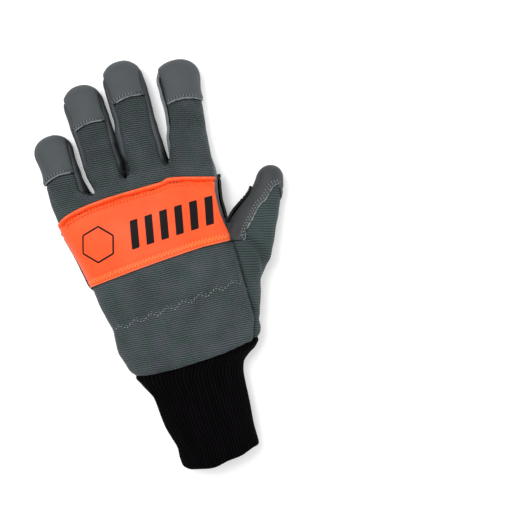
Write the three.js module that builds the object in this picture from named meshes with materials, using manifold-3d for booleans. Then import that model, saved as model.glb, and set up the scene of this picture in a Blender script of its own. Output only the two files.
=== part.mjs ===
// A left-hand forestry glove: leather palm and fingertips, woven elastic back, a high-visibility
// panel behind the knuckles and a ribbed knit cuff. It lies palm down, filled out as if worn.
// Millimetres. +Y runs from the cuff to the fingertips, +X towards the thumb and +Z up from the
// surface that it lies on. The origin is on the palm's rest face, under the middle of the hand.
import * as THREE from "three";
import { mergeVertices } from "three/addons/utils/BufferGeometryUtils.js";
import Module from "manifold-3d";

const wasm = await Module();
wasm.setup();

// Hand
const palmWidth = 110; // across the knuckles
const palmLength = 130; // from the wrist seam to the finger roots
const handDepth = 37; // at the thickest place, behind the knuckles
const originShare = 0.7; // the origin's place along palmLength, from the wrist seam

// Cuff
const cuffWidth = 61;
const cuffLength = 73; // from the wrist seam to the mouth, on the back
const cuffDepth = 29;
const mouthRound = 5; // how far the mouth's corners stand back from its middle

// Thumb
const thumbLength = 103; // from inside the heel of the hand to the tip
const thumbWidth = 29;
const thumbDepth = 27;
const thumbTilt = 27.8; // degrees from +Y towards +X
const thumbRoot = { across: 0.4, along: 0.146 };

// Fingers. across: place along the root line. length: from the root line. tilt: degrees from +Y.
// tipWidth: share of the width. capSeam: share of the length where the fingertip cap starts.
const fingers = {
  little: { across: -0.405, length: 44.5, width: 26.8, depth: 20, tilt: -0.3, tipWidth: 1.03, capSeam: 0.35 },
  ring: { across: -0.133, length: 71.3, width: 28.4, depth: 21.5, tilt: -0.6, tipWidth: 0.98, capSeam: 0.6 },
  middle: { across: 0.13, length: 79, width: 28.6, depth: 22, tilt: 1, tipWidth: 0.98, capSeam: 0.65 },
  index: { across: 0.3955, length: 68.7, width: 28, depth: 22, tilt: 8.5, tipWidth: 1.07, capSeam: 0.577 },
};

// Sheet thicknesses
const wall = 2; // fabric or leather with its lining
const cuffWall = 2.4; // double rib knit
const panelThickness = 1; // coated high-visibility fabric
const patchThickness = 1.5; // padded palm leather
const gap = 0.3; // between neighbouring pieces

// Seams
const sideSeamHeight = 8; // palm leather below it, back and finger strips above it
const wristSeamAdvance = 7; // how far the wrist seam runs ahead on the palm face
const wristSeamSlope = 0.333; // how fast it falls back towards the cuff as it climbs
const patchWrapHeight = 15; // how far the palm patch climbs the index finger's side of the hand
const patchLittleWrap = 11; // and the little finger's side
const guardWrapHeight = 10; // how far the wrist guard climbs the sides of the cuff
const gussetHeight = 25; // the palm leather's reach up the hand's side beside the index finger
const panelBottom = 16; // height at which the high-visibility panel ends on the hand's sides

// Mesh fineness
const bodySides = 24;
const fingerSides = 14;

const lift = gap + patchThickness; // the palm and the cuff stand on the patch and the guard
const wristY = -originShare * palmLength;
const rootY = wristY + palmLength;

// Sections of the hand. along: share of palmLength from the wrist seam. left, right: shares of
// palmWidth. crown: share of handDepth. lift: share of the height of what lies under it.
const handSections = [
  { along: 0.023, left: -0.366, right: 0.464, crown: 0.87, lift: 1 },
  { along: 0.085, left: -0.391, right: 0.485, crown: 0.93, lift: 1 },
  { along: 0.146, left: -0.402, right: 0.489, crown: 0.96, lift: 1 },
  { along: 0.262, left: -0.391, right: 0.48, crown: 0.92, lift: 1 },
  { along: 0.315, left: -0.402, right: 0.482, crown: 0.96, lift: 1 },
  { along: 0.408, left: -0.42, right: 0.486, crown: 0.99, lift: 1 },
  { along: 0.515, left: -0.434, right: 0.48, crown: 1, lift: 1 },
  { along: 0.715, left: -0.468, right: 0.48, crown: 0.98, lift: 1 },
  { along: 0.8, left: -0.489, right: 0.494, crown: 0.93, lift: 1 },
  { along: 0.869, left: -0.505, right: 0.516, crown: 0.86, lift: 1 },
  { along: 0.94, left: -0.517, right: 0.521, crown: 0.77, lift: 1 },
  { along: 0.985, left: -0.522, right: 0.521, crown: 0.7, lift: 1 },
  { along: 1, left: -0.515, right: 0.516, crown: 0.66, lift: 1 },
  { along: 1.008, left: -0.49, right: 0.49, crown: 0.56, lift: 2.5 },
];

// Sections of the cuff. along: share of cuffLength below the wrist seam, so the last rows lie past
// the mouth and are trimmed. left, right: shares of cuffWidth. crown: share of cuffDepth.
const cuffSections = [
  { along: 1.15, left: -0.43, right: 0.455, crown: 0.97 },
  { along: 0.918, left: -0.443, right: 0.459, crown: 0.97 },
  { along: 0.808, left: -0.433, right: 0.464, crown: 0.97 },
  { along: 0.685, left: -0.459, right: 0.48, crown: 0.98 },
  { along: 0.534, left: -0.492, right: 0.5, crown: 0.98 },
  { along: 0.247, left: -0.516, right: 0.535, crown: 0.96 },
  { along: 0.178, left: -0.549, right: 0.566, crown: 0.97 },
  { along: 0.123, left: -0.582, right: 0.64, crown: 1 },
  { along: 0.075, left: -0.607, right: 0.74, crown: 1.03 },
  { along: 0.01, left: -0.644, right: 0.81, crown: 1.07 },
];

// Sections of a finger. along: share of its length. width, crown: shares of its width and depth.
const fingerSections = [
  { along: -0.28, width: 0.86, crown: 1.1, lift: 2 },
  { along: -0.04, width: 0.97, crown: 1.12, lift: 1.5 },
  { along: 0.1, width: 0.98, crown: 1.07, lift: 0.6 },
  { along: 0.25, width: 0.98, crown: 1.02, lift: 0 },
  { along: 0.55, width: 0.99, crown: 1, lift: 0 },
];
const fingertipRound = 0.5; // length of the rounded tip as a share of the finger's width
const tipTurns = [0, 28, 50, 68, 81]; // degrees round the tip of its sections
const tipPower = 2.2; // 2 is a round tip, more is a blunter one

// Sections of the thumb. along: share of its length. aside: its centre's place to the right of the
// straight axis, as a share of thumbWidth. width, crown: shares of its width and depth.
const thumbSections = [
  { along: 0, aside: 0, width: 0.82, crown: 0.9 },
  { along: 0.15, aside: -0.06, width: 0.84, crown: 1.05 },
  { along: 0.25, aside: -0.138, width: 0.88, crown: 1.1 },
  { along: 0.33, aside: -0.11, width: 0.95, crown: 1.1 },
  { along: 0.42, aside: -0.12, width: 1.1, crown: 1.07 },
  { along: 0.52, aside: -0.125, width: 1.17, crown: 1.01 },
  { along: 0.61, aside: -0.091, width: 1.09, crown: 0.95 },
  { along: 0.7, aside: -0.021, width: 0.923, crown: 0.89 },
  { along: 0.78, aside: 0.058, width: 0.74, crown: 0.84 },
];
const thumbTip = { aside: 0.1, width: 0.65, crown: 0.8, round: 0.4 };
const thumbLift = 1.15; // the thumb's underside, as a share of what the palm stands on

// A closed section: flat where it rests, domed above. Points are [across, up].
function sectionPoints(halfWidth, base, crown, sides, offset) {
  const waist = base + 0.42 * (crown - base);
  const reach = halfWidth + offset;
  const rise = crown - waist + offset;
  const fall = (waist - base + offset) * 1.06;
  const points = [];
  for (let i = 0; i < sides; i++) {
    const angle = (2 * Math.PI * (i + 0.5)) / sides;
    const power = Math.sin(angle) > 0 ? 2 / 2.35 : 2 / 3;
    const across = Math.sign(Math.cos(angle)) * Math.abs(Math.cos(angle)) ** power * reach;
    const turn = Math.abs(Math.sin(angle)) ** power;
    const up = Math.sin(angle) > 0 ? waist + turn * rise : waist - turn * fall;
    points.push([across, Math.max(up, base - offset)]);
  }
  return points;
}

// A closed solid through rings of points, each capped at the two ends by a fan.
function loft(rings) {
  const count = rings[0].length;
  const positions = rings.flat().flatMap((p) => [p.x, p.y, p.z]);
  const index = [];
  for (let r = 0; r + 1 < rings.length; r++)
    for (let i = 0; i < count; i++) {
      const a = r * count + i;
      const b = r * count + ((i + 1) % count);
      index.push(a, b, b + count, a, b + count, a + count);
    }
  for (const [ring, first] of [[rings[0], true], [rings.at(-1), false]]) {
    const centre = ring.reduce((sum, p) => sum.add(p), new THREE.Vector3()).divideScalar(count);
    const hub = positions.length / 3;
    const start = first ? 0 : (rings.length - 1) * count;
    positions.push(centre.x, centre.y, centre.z);
    for (let i = 0; i < count; i++) {
      const a = start + i;
      const b = start + ((i + 1) % count);
      index.push(...(first ? [hub, b, a] : [hub, a, b]));
    }
  }
  return solidFrom(positions, index);
}

function solidFrom(positions, index) {
  const make = (triVerts) =>
    new wasm.Manifold(
      new wasm.Mesh({
        numProp: 3,
        vertProperties: new Float32Array(positions),
        triVerts: new Uint32Array(triVerts),
      }),
    );
  const solid = make(index);
  if (solid.volume() > 0) return solid;
  const turned = [];
  for (let i = 0; i < index.length; i += 3) turned.push(index[i], index[i + 2], index[i + 1]);
  return make(turned);
}

function solidOfGeometry(geometry) {
  geometry.deleteAttribute("normal");
  geometry.deleteAttribute("uv");
  const merged = mergeVertices(geometry, 1e-4);
  return solidFrom([...merged.attributes.position.array], [...merged.index.array]);
}

// The hand and cuff in one tube, its two ends past the finger roots and past the mouth.
function bodyLoft(offset) {
  const rings = [];
  const addRing = (y, left, right, base, crown) => {
    const centre = (left + right) / 2;
    const section = sectionPoints((right - left) / 2, base, crown, bodySides, offset);
    rings.push(section.map(([across, up]) => new THREE.Vector3(centre + across, y, up)));
  };
  for (const s of cuffSections) {
    const y = wristY - s.along * cuffLength;
    addRing(y, s.left * cuffWidth, s.right * cuffWidth, lift, s.crown * cuffDepth);
  }
  for (const s of handSections) {
    const y = wristY + s.along * palmLength + (s.along > 1 ? offset : 0);
    addRing(y, s.left * palmWidth, s.right * palmWidth, s.lift * lift, s.crown * handDepth);
  }
  return loft(rings);
}

// A digit along its own axis. A section is { along, aside, halfWidth, base, crown } in millimetres,
// and the tip is rounded past the last one.
function digitLoft(frame, sections, tip, offset) {
  const addRing = (s, shrink) => {
    const middle = s.base + 0.42 * (s.crown - s.base);
    return sectionPoints(s.halfWidth, s.base, s.crown, fingerSides, offset).map(([across, up]) => {
      const [x, y] = frame(s.aside + across * shrink, s.along);
      return new THREE.Vector3(x, y, middle + (up - middle) * shrink);
    });
  };
  const rings = sections.map((s) => addRing(s, 1));
  for (const degrees of tipTurns) {
    const turn = Math.sin(THREE.MathUtils.degToRad(degrees));
    const along = tip.along + turn * (tip.round + offset);
    rings.push(addRing({ ...tip, along }, (1 - turn ** tipPower) ** (1 / tipPower)));
  }
  return loft(rings);
}

// A point beside a finger's axis, in millimetres in the plane of the hand.
function fingerFrame(finger) {
  const tilt = THREE.MathUtils.degToRad(finger.tilt);
  return (aside, along) => [
    finger.across * palmWidth + aside * Math.cos(tilt) + along * Math.sin(tilt),
    rootY - aside * Math.sin(tilt) + along * Math.cos(tilt),
  ];
}

function thumbFrame(aside, along) {
  const tilt = THREE.MathUtils.degToRad(thumbTilt);
  return [
    thumbRoot.across * palmWidth + aside * Math.cos(tilt) + along * Math.sin(tilt),
    wristY + thumbRoot.along * palmLength - aside * Math.sin(tilt) + along * Math.cos(tilt),
  ];
}

function fingerLoft(finger, offset) {
  const row = (s) => ({
    along: s.along * finger.length,
    aside: 0,
    halfWidth: (s.width * finger.width) / 2,
    base: s.lift * lift,
    crown: s.crown * finger.depth,
  });
  const round = fingertipRound * finger.width;
  const tip = row({ along: 1 - round / finger.length, width: finger.tipWidth, crown: 0.97, lift: 0 });
  return digitLoft(fingerFrame(finger), fingerSections.map(row), { ...tip, round }, offset);
}

function thumbLoft(offset) {
  const row = (s) => ({
    along: s.along * thumbLength,
    aside: s.aside * thumbWidth,
    halfWidth: (s.width * thumbWidth) / 2,
    base: thumbLift * lift,
    crown: s.crown * thumbDepth,
  });
  const round = thumbTip.round * thumbWidth;
  const tip = row({ ...thumbTip, along: 1 - round / thumbLength });
  return digitLoft(thumbFrame, thumbSections.map(row), { ...tip, round }, offset);
}

// The whole outer form, grown or shrunk by an offset.
function form(offset) {
  return Object.values(fingers)
    .map((finger) => fingerLoft(finger, offset))
    .reduce((sum, digit) => sum.add(digit), bodyLoft(offset).add(thumbLoft(offset)));
}

// A region of the plan view, as a prism between two heights.
function prism(points, bottom, top) {
  const shape = new THREE.Shape(points.map(([x, y]) => new THREE.Vector2(x, y)));
  const geometry = new THREE.ExtrudeGeometry(shape, { depth: top - bottom, bevelEnabled: false });
  return solidOfGeometry(geometry.translate(0, 0, bottom));
}

// The outline moved outwards by a distance, corner by corner.
function grown(points, distance) {
  const turnSign = Math.sign(THREE.ShapeUtils.area(points.map(([x, y]) => new THREE.Vector2(x, y))));
  return points.map((point, i) => {
    const here = new THREE.Vector2(...point);
    const before = new THREE.Vector2(...points.at(i - 1));
    const after = new THREE.Vector2(...points[(i + 1) % points.length]);
    const a = here.clone().sub(before).normalize();
    const b = after.clone().sub(here).normalize();
    const outA = new THREE.Vector2(a.y, -a.x);
    const outB = new THREE.Vector2(b.y, -b.x);
    const mitre = outA.clone().add(outB).divideScalar(Math.max(1 + outA.dot(outB), 0.3));
    return [here.x + turnSign * distance * mitre.x, here.y + turnSign * distance * mitre.y];
  });
}

// The largest body of a cut, so that a crumb left at a corner doesn't stay with the piece.
function mainBody(solid) {
  return solid.decompose().reduce((best, body) => (body.volume() > best.volume() ? body : best));
}

const far = 3 * (palmWidth + palmLength); // past the glove in every direction
const everywhere = [[-far, -far], [far, -far], [far, far], [-far, far]];

// The half of space on one side of the wrist seam. side 1 is the hand's, -1 the cuff's.
function besideWristSeam(side) {
  const seam = (z) => wristY + wristSeamAdvance - wristSeamSlope * z + (side * gap) / 2;
  const outline = [[seam(-far), -far], [side * far, -far], [side * far, far], [seam(far), far]];
  const shape = new THREE.Shape(outline.map(([y, z]) => new THREE.Vector2(y, z)));
  const geometry = new THREE.ExtrudeGeometry(shape, { depth: 2 * far, bevelEnabled: false });
  const turn = new THREE.Matrix4().makeBasis(
    new THREE.Vector3(0, 1, 0),
    new THREE.Vector3(0, 0, 1),
    new THREE.Vector3(1, 0, 0),
  );
  return solidOfGeometry(geometry.translate(0, 0, -far).applyMatrix4(turn));
}

// A place in the plan view as shares of palmWidth and of palmLength from the wrist seam.
const place = ([across, along]) => [across * palmWidth, wristY + along * palmLength];

// A place on a finger as shares of its half width and of its length from the root line.
function onFinger(finger) {
  const frame = fingerFrame(finger);
  return ([aside, along]) => frame((aside * finger.width) / 2, along * finger.length);
}

// A place on the thumb as shares of half its width and of its length.
const onThumb = ([aside, along]) => thumbFrame((aside * thumbWidth) / 2, along * thumbLength);

// Where the strip of woven fabric on a finger's back ends: aside is a share of the half width.
const stripRightEdge = [[0.62, 0.03], [0.6, 0.35], [0.7, 0.7], [0.86, 0.88], [1.04, 0.94]];
const stripLeftEdge = [[-0.95, 0.03], [-0.8, 0.35], [-0.8, 0.7], [-0.9, 0.88], [-1.04, 0.94]];

// The strip that lines the sides of two neighbouring fingers and the crotch between them.
function fourchetteOutline(left, right) {
  const rise = stripRightEdge.map(onFinger(left));
  const fall = stripLeftEdge.map(onFinger(right)).reverse();
  const crotchY = rootY - wall - 1.5;
  const crotch = [
    [fall.at(-1)[0], crotchY],
    [rise[0][0], crotchY],
  ];
  return [...rise, ...fall, ...crotch];
}

// A fingertip cap: everything past a seam that bows towards the tip.
function capOutline(finger) {
  const seam = finger.capSeam;
  const bow = 3.5 / finger.length;
  const leftEnd = [[-1.4, seam - 1.4 * bow], [-0.7, seam - 0.5 * bow]];
  const rightEnd = [[0.7, seam - 0.3 * bow], [1.4, seam - bow]];
  return [...leftEnd, [0, seam], ...rightEnd, [1.4, 1.2], [-1.4, 1.2]].map(onFinger(finger));
}

// Plan outlines. The comments name their stretches in order.
const thumbLeatherOutline = [
  // the seam on the woven panel, from the crotch to the tip
  ...[[-1.09, 0.456], [-0.48, 0.481], [-0.42, 0.55], [-0.26, 0.62], [-0.04, 0.715]].map(onThumb),
  ...[[0.18, 0.755], [0.34, 0.82], [0.48, 0.86], [0.7, 0.85], [0.88, 0.8], [1.4, 0.75]].map(onThumb),
  // round the tip and back to the crotch, outside the glove
  ...[[1.4, 1.2], [-1.2, 1.2], [-1.2, 0.78]].map(onThumb),
  ...[[0.525, 0.7], [0.478, 0.655]].map(place),
];

const sideSeam = [[0.478, 0.3], [0.48, 0.2], [0.47, 0.1], [0.435, 0.02], [0.4, -0.08]].map(place);
const sidePanelTop = [
  ...sideSeam,
  ...[[0.9, -0.08], [1.1, 0.5], [1.1, 0.9]].map(place),
  ...[[1.5, 0.93], [0.3, 0.93], [-1.05, 0.5]].map(onThumb),
];
const sidePanelUnder = [
  ...[[0.32, -0.08], [0.33, 0.08], [0.38, 0.14], [0.45, 0.23]].map(place),
  ...[[0.2, 0.36], [0.25, 0.5], [0.33, 0.62], [0.45, 0.74], [0.62, 0.84]].map(onThumb),
  ...[[1.4, 0.86], [1.4, 0.2]].map(onThumb),
  ...[[0.9, -0.08]].map(place),
];
const gussetOutline = [
  ...[[0.478, 0.655], [0.472, 0.72], [0.48, 0.8], [0.5, 0.9], [0.512, 1.02]],
  ...[[0.6, 1.02], [0.6, 0.655]],
].map(place);

const panelOutline = [
  // along the knuckles from the little finger's side, down the index side and back
  ...[[-0.515, 0.872], [-0.44, 0.902], [-0.3, 0.921], [-0.05, 0.923], [0.16, 0.915], [0.22, 0.925]],
  ...[[0.3, 0.911], [0.4, 0.884], [0.49, 0.861], [0.475, 0.792], [0.467, 0.7], [0.464, 0.62]],
  ...[[0.472, 0.523], [0.3, 0.534], [0, 0.53], [-0.32, 0.519], [-0.436, 0.515]],
  ...[[-0.462, 0.66], [-0.489, 0.77]],
].map(place);

const patchOutline = [
  // below the fingers, then outside the index side to the thumb's crotch
  ...[[-0.6, 0.8], [-0.5, 0.835], [-0.4, 0.87], [-0.22, 0.92], [-0.04, 0.95], [0.13, 0.96]].map(place),
  ...[[0.25, 0.945], [0.36, 0.915], [0.46, 0.865], [0.6, 0.84]].map(place),
  // the thumb's inner side and its ball, then the heel of the palm
  ...[[-1.3, 0.74], [-0.85, 0.82], [-0.3, 0.82], [-0.3, 0.72], [-0.35, 0.62]].map(onThumb),
  ...[[0.53, 0.51], [0.42, 0.455], [0.28, 0.41], [0.12, 0.375], [-0.18, 0.325], [-0.6, 0.3]].map(place),
];

const guardTop = wristY + wristSeamAdvance - gap;
const guardOutline = [
  ...[[-0.66, 0], [-0.52, 0.22], [-0.42, 0.45], [-0.35, 0.65], [-0.25, 0.8], [-0.12, 0.88], [0.02, 0.9]],
  ...[[0.16, 0.88], [0.29, 0.8], [0.39, 0.65], [0.46, 0.45], [0.56, 0.22], [0.76, 0]],
].map(([across, down]) => [across * cuffWidth, guardTop - down * (cuffLength + wristSeamAdvance)]);

const mouthY = wristY - cuffLength;
const cuffOutline = [
  ...[-1, -0.75, -0.5, -0.25, 0, 0.25, 0.5, 0.75, 1].map((share) => [
    (share * cuffWidth) / 2,
    mouthY + mouthRound * share ** 4 + 0.4 * mouthRound * share ** 2,
  ]),
  [palmWidth, mouthY + mouthRound * 1.4],
  [palmWidth, rootY],
  [-palmWidth, rootY],
  [-palmWidth, mouthY + mouthRound * 1.4],
];

// The base of the ring and middle fingers' palm leather, where it is sewn to the palm.
function frontOutline(finger, leftRise, rightRise) {
  const base = [[-1.03, leftRise], [0, (leftRise + rightRise) / 2 + 1], [1.03, rightRise]];
  const ends = base.map(([aside, up]) => onFinger(finger)([aside, up / finger.length]));
  return [...ends, ...[[1.03, 1.2], [-1.03, 1.2]].map(onFinger(finger))];
}

const outer = form(0);
const handShell = outer.subtract(form(-wall)).intersect(besideWristSeam(1));
const cuffShell = outer.subtract(form(-cuffWall)).intersect(besideWristSeam(-1));

// Takes a region out of the stock: the piece, and the stock left with a gap round it.
function carve(stock, outline, bottom, top) {
  return {
    piece: mainBody(stock.intersect(prism(outline, bottom, top))),
    rest: stock.subtract(prism(grown(outline, gap), bottom - gap, top + gap)),
  };
}

const pieces = {};
const seamTop = sideSeamHeight + gap / 2;
const seamUnder = sideSeamHeight - gap / 2;

// The thumb-side panel wraps from the back to the palm face, so it leaves the whole shell first.
const thumbCut = carve(handShell, thumbLeatherOutline, seamTop, far);
pieces.thumb_leather = thumbCut.piece;
const sideRegion = prism(sidePanelTop, seamTop, far).add(prism(sidePanelUnder, -far, seamTop));
const sideGap = prism(grown(sidePanelTop, gap), seamTop - gap, far).add(
  prism(grown(sidePanelUnder, gap), -far, seamTop + gap),
);
pieces.thumb_side_panel = mainBody(thumbCut.rest.intersect(sideRegion));
let stock = thumbCut.rest.subtract(sideGap);

const palmRegion = prism(everywhere, -far, seamUnder).add(prism(gussetOutline, -far, gussetHeight));
const aboveSeam = prism(everywhere, seamTop, far).subtract(
  prism(grown(gussetOutline, gap), -far, gussetHeight + gap),
);
let palmStock = stock.intersect(palmRegion);
stock = stock.intersect(aboveSeam);

for (const [left, right] of [["little", "ring"], ["ring", "middle"], ["middle", "index"]]) {
  const cut = carve(stock, fourchetteOutline(fingers[left], fingers[right]), 0, far);
  pieces[`fourchette_${left}_${right}`] = cut.piece;
  stock = cut.rest;
}
for (const [name, finger] of Object.entries(fingers)) {
  const cut = carve(stock, capOutline(finger), 0, far);
  pieces[`${name}_cap`] = cut.piece;
  stock = cut.rest;
}
pieces.back_panel = mainBody(stock);

for (const [name, leftRise, rightRise] of [["ring", -4, 0.5], ["middle", 1.5, 2]]) {
  const cut = carve(palmStock, frontOutline(fingers[name], leftRise, rightRise), -far, far);
  pieces[`${name}_front`] = cut.piece;
  palmStock = cut.rest;
}
pieces.palm_panel = mainBody(palmStock);

// A sheet laid over the outer form within a region.
function overlay(outline, bottom, top, thickness) {
  const sheet = form(gap + thickness).subtract(form(gap));
  return mainBody(sheet.intersect(prism(outline, bottom, top)));
}
pieces.hi_vis_panel = overlay(panelOutline, panelBottom, far, panelThickness);
const littleSide = prism([[-far, -far], [0, -far], [0, far], [-far, far]], patchLittleWrap, far);
const patch = overlay(patchOutline, -far, patchWrapHeight, patchThickness);
pieces.palm_patch = mainBody(patch.subtract(littleSide));
pieces.wrist_guard = overlay(guardOutline, -far, guardWrapHeight, patchThickness);
pieces.knit_cuff = mainBody(cuffShell.intersect(prism(cuffOutline, -far, far)));

const leather = { color: 0x5d6165, roughness: 0.6 };
const palmLeather = { color: 0x7b8084, roughness: 0.55 };
const woven = { color: 0x47504f, roughness: 0.95 };
const finishes = {
  back_panel: woven,
  thumb_side_panel: woven,
  hi_vis_panel: { color: 0xff5a2a, roughness: 0.5 },
  palm_patch: { color: 0x3c3838, roughness: 0.45 },
  palm_panel: palmLeather,
  wrist_guard: palmLeather,
  ring_front: palmLeather,
  middle_front: palmLeather,
  knit_cuff: { color: 0x0c0b0d, roughness: 0.95 },
};

const glove = new THREE.Group();
for (const [name, solid] of Object.entries(pieces)) {
  const { vertProperties, triVerts } = solid.getMesh();
  const geometry = new THREE.BufferGeometry();
  geometry.setAttribute("position", new THREE.BufferAttribute(vertProperties, 3));
  geometry.setIndex(new THREE.BufferAttribute(triVerts, 1));
  geometry.computeVertexNormals();
  const finish = new THREE.MeshStandardMaterial({ metalness: 0, ...(finishes[name] ?? leather) });
  const mesh = new THREE.Mesh(geometry, finish);
  mesh.name = name;
  glove.add(mesh);
}

export default glove;
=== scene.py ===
"""A left-hand forestry glove lying palm down: woven back, leather palm and fingertips, an orange
high-visibility panel and a ribbed knit cuff. Built in the CAD frame. The shapes are worked out in
millimetres and turned into metres when a piece is made."""

import math

import bpy
import numpy as np
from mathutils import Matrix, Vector
from mathutils.bvhtree import BVHTree


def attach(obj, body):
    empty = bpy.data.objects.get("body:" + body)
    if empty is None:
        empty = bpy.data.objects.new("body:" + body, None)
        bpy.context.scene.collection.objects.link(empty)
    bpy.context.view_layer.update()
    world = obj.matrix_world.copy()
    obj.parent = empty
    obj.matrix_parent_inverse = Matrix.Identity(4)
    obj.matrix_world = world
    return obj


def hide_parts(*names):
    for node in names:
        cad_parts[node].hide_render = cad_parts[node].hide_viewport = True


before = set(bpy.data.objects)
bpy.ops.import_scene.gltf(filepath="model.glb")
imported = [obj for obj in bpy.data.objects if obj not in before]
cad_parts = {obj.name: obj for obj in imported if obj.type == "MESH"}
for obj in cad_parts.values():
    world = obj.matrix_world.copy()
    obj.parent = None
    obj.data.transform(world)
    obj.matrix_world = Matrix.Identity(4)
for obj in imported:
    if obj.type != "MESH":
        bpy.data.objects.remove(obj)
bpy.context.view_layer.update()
MM = 0.001

# Driving sizes, as in the part's source
PALM_WIDTH = 110.0
PALM_LENGTH = 130.0
HAND_DEPTH = 37.0
CUFF_WIDTH = 61.0
CUFF_LENGTH = 73.0
CUFF_DEPTH = 29.0
THUMB_LENGTH = 103.0
THUMB_WIDTH = 29.0
THUMB_DEPTH = 27.0
THUMB_TILT = 27.8
THUMB_ACROSS = 0.4
THUMB_ALONG = 0.146
PATCH_THICKNESS = 1.5
GAP = 0.3
LIFT = PATCH_THICKNESS + GAP
WRIST_Y = -0.7 * PALM_LENGTH
ROOT_Y = WRIST_Y + PALM_LENGTH
MOUTH_Y = WRIST_Y - CUFF_LENGTH
SIDE_SEAM_Z = 8.0
WRIST_SEAM_ADVANCE = 7.0
WRIST_SEAM_SLOPE = 0.333

# Finish sizes
VOXEL = 0.77
SHELL = 1.6  # thickness of the leather and woven pieces
PANEL_THICKNESS = 0.9
THREAD = 0.28  # radius of sewing thread
BACK_RIB = 1.4  # pitch of the woven back's ribs
SIDE_RIB = 1.7  # pitch on the thumb's side panel
SEAM_GAP = 0.18  # half the slit left between two pieces at a seam
KNIT_RIBS = 66
KNIT_RIB_DEPTH = 0.75
KNIT_LOOP = 1.5  # pitch of the stitches along a rib

# Columns: along (share of palm length from the wrist seam), left, right (shares of palm width),
# crown (share of hand depth), lift (share of LIFT)
HAND = np.array([
    [0.023, -0.366, 0.464, 0.87, 1], [0.085, -0.391, 0.485, 0.93, 1], [0.146, -0.402, 0.489, 0.96, 1],
    [0.262, -0.391, 0.480, 0.92, 1], [0.315, -0.402, 0.482, 0.96, 1], [0.408, -0.420, 0.486, 0.99, 1],
    [0.515, -0.434, 0.480, 1.00, 1], [0.715, -0.468, 0.480, 0.98, 1], [0.800, -0.489, 0.494, 0.93, 1],
    [0.869, -0.505, 0.516, 0.86, 1], [0.940, -0.517, 0.521, 0.77, 1], [0.985, -0.522, 0.521, 0.70, 1],
    [1.000, -0.515, 0.516, 0.66, 1], [1.008, -0.490, 0.490, 0.56, 2.5],
])
# Columns: along (share of cuff length below the wrist seam), left, right (shares of cuff width),
# crown (share of cuff depth)
CUFF = np.array([
    [1.150, -0.430, 0.455, 0.97], [0.918, -0.443, 0.459, 0.97], [0.808, -0.433, 0.464, 0.97],
    [0.685, -0.459, 0.480, 0.98], [0.534, -0.492, 0.500, 0.98], [0.247, -0.516, 0.535, 0.96],
    [0.178, -0.549, 0.566, 0.97], [0.123, -0.582, 0.640, 1.00], [0.075, -0.607, 0.740, 1.03],
    [0.010, -0.644, 0.810, 1.07],
])
# Columns: along (share of length), width, crown (shares of the finger's), lift (share of LIFT)
FINGER = np.array([
    [-0.28, 0.86, 1.10, 2.0], [-0.04, 0.97, 1.12, 1.5], [0.10, 0.98, 1.07, 0.6],
    [0.25, 0.98, 1.02, 0.0], [0.55, 0.99, 1.00, 0.0],
])
FINGERS = {
    "little": dict(across=-0.405, length=44.5, width=26.8, depth=20.0, tilt=-0.3, tip=1.03, cap=0.35),
    "ring": dict(across=-0.133, length=71.3, width=28.4, depth=21.5, tilt=-0.6, tip=0.98, cap=0.6),
    "middle": dict(across=0.13, length=79.0, width=28.6, depth=22.0, tilt=1.0, tip=0.98, cap=0.65),
    "index": dict(across=0.3955, length=68.7, width=28.0, depth=22.0, tilt=8.5, tip=1.07, cap=0.577),
}
# Columns: along (share of length), aside (share of width), width, crown (shares of the thumb's)
THUMB = np.array([
    [0.00, 0.000, 0.82, 0.90], [0.15, -0.060, 0.84, 1.05], [0.25, -0.138, 0.88, 1.10],
    [0.33, -0.110, 0.95, 1.10], [0.42, -0.120, 1.10, 1.07], [0.52, -0.125, 1.17, 1.01],
    [0.61, -0.091, 1.09, 0.95], [0.70, -0.021, 0.923, 0.89], [0.78, 0.058, 0.74, 0.84],
    [0.887, 0.100, 0.65, 0.80],
])
THUMB_TIP_ROUND = 0.4
THUMB_LIFT = 1.15
FINGERTIP_ROUND = 0.5
TIP_POWER = 2.2


# Curves and tables

def smooth_table(rows, at):
    """Every column of rows at the places in at, on a monotone cubic through column 0."""
    x = rows[:, 0]
    y = rows[:, 1:]
    h = np.diff(x)[:, None]
    slope = np.diff(y, axis=0) / h
    grow = slope[1:] * slope[:-1] > 0
    mean = 2 * slope[1:] * slope[:-1] / np.where(grow, slope[1:] + slope[:-1], 1)
    tangent = np.vstack([slope[:1], np.where(grow, mean, 0), slope[-1:]])
    at = np.clip(at, x[0], x[-1])
    i = np.clip(np.searchsorted(x, at) - 1, 0, len(x) - 2)
    t = ((at - x[i]) / h[i, 0])[:, None]
    return (
        (1 + 2 * t) * (1 - t) ** 2 * y[i]
        + t * (1 - t) ** 2 * h[i] * tangent[i]
        + t * t * (3 - 2 * t) * y[i + 1]
        + t * t * (t - 1) * h[i] * tangent[i + 1]
    )


def spline(points, step=1.0):
    """A plan curve through the points, sampled about every step mm."""
    points = np.array(points, float)
    padded = np.vstack([2 * points[0] - points[1], points, 2 * points[-1] - points[-2]])
    out = []
    for a, b, c, d in zip(padded, padded[1:], padded[2:], padded[3:]):
        count = max(int(np.linalg.norm(c - b) / step), 1)
        t = (np.arange(count) / count)[:, None]
        curve = (c - a) * t + (2 * a - 5 * b + 4 * c - d) * t**2 + (3 * b - a - 3 * c + d) * t**3
        out.append(b + 0.5 * curve)
    return np.vstack(out + [points[-1:]])


def even(points, step):
    """The same curve, resampled at equal steps of about step mm."""
    points = np.array(points, float)
    run = np.concatenate([[0], np.cumsum(np.linalg.norm(np.diff(points, axis=0), axis=1))])
    at = np.linspace(0, run[-1], max(int(round(run[-1] / step)), 1) + 1)
    return np.stack([np.interp(at, run, column) for column in points.T], 1)


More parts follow.
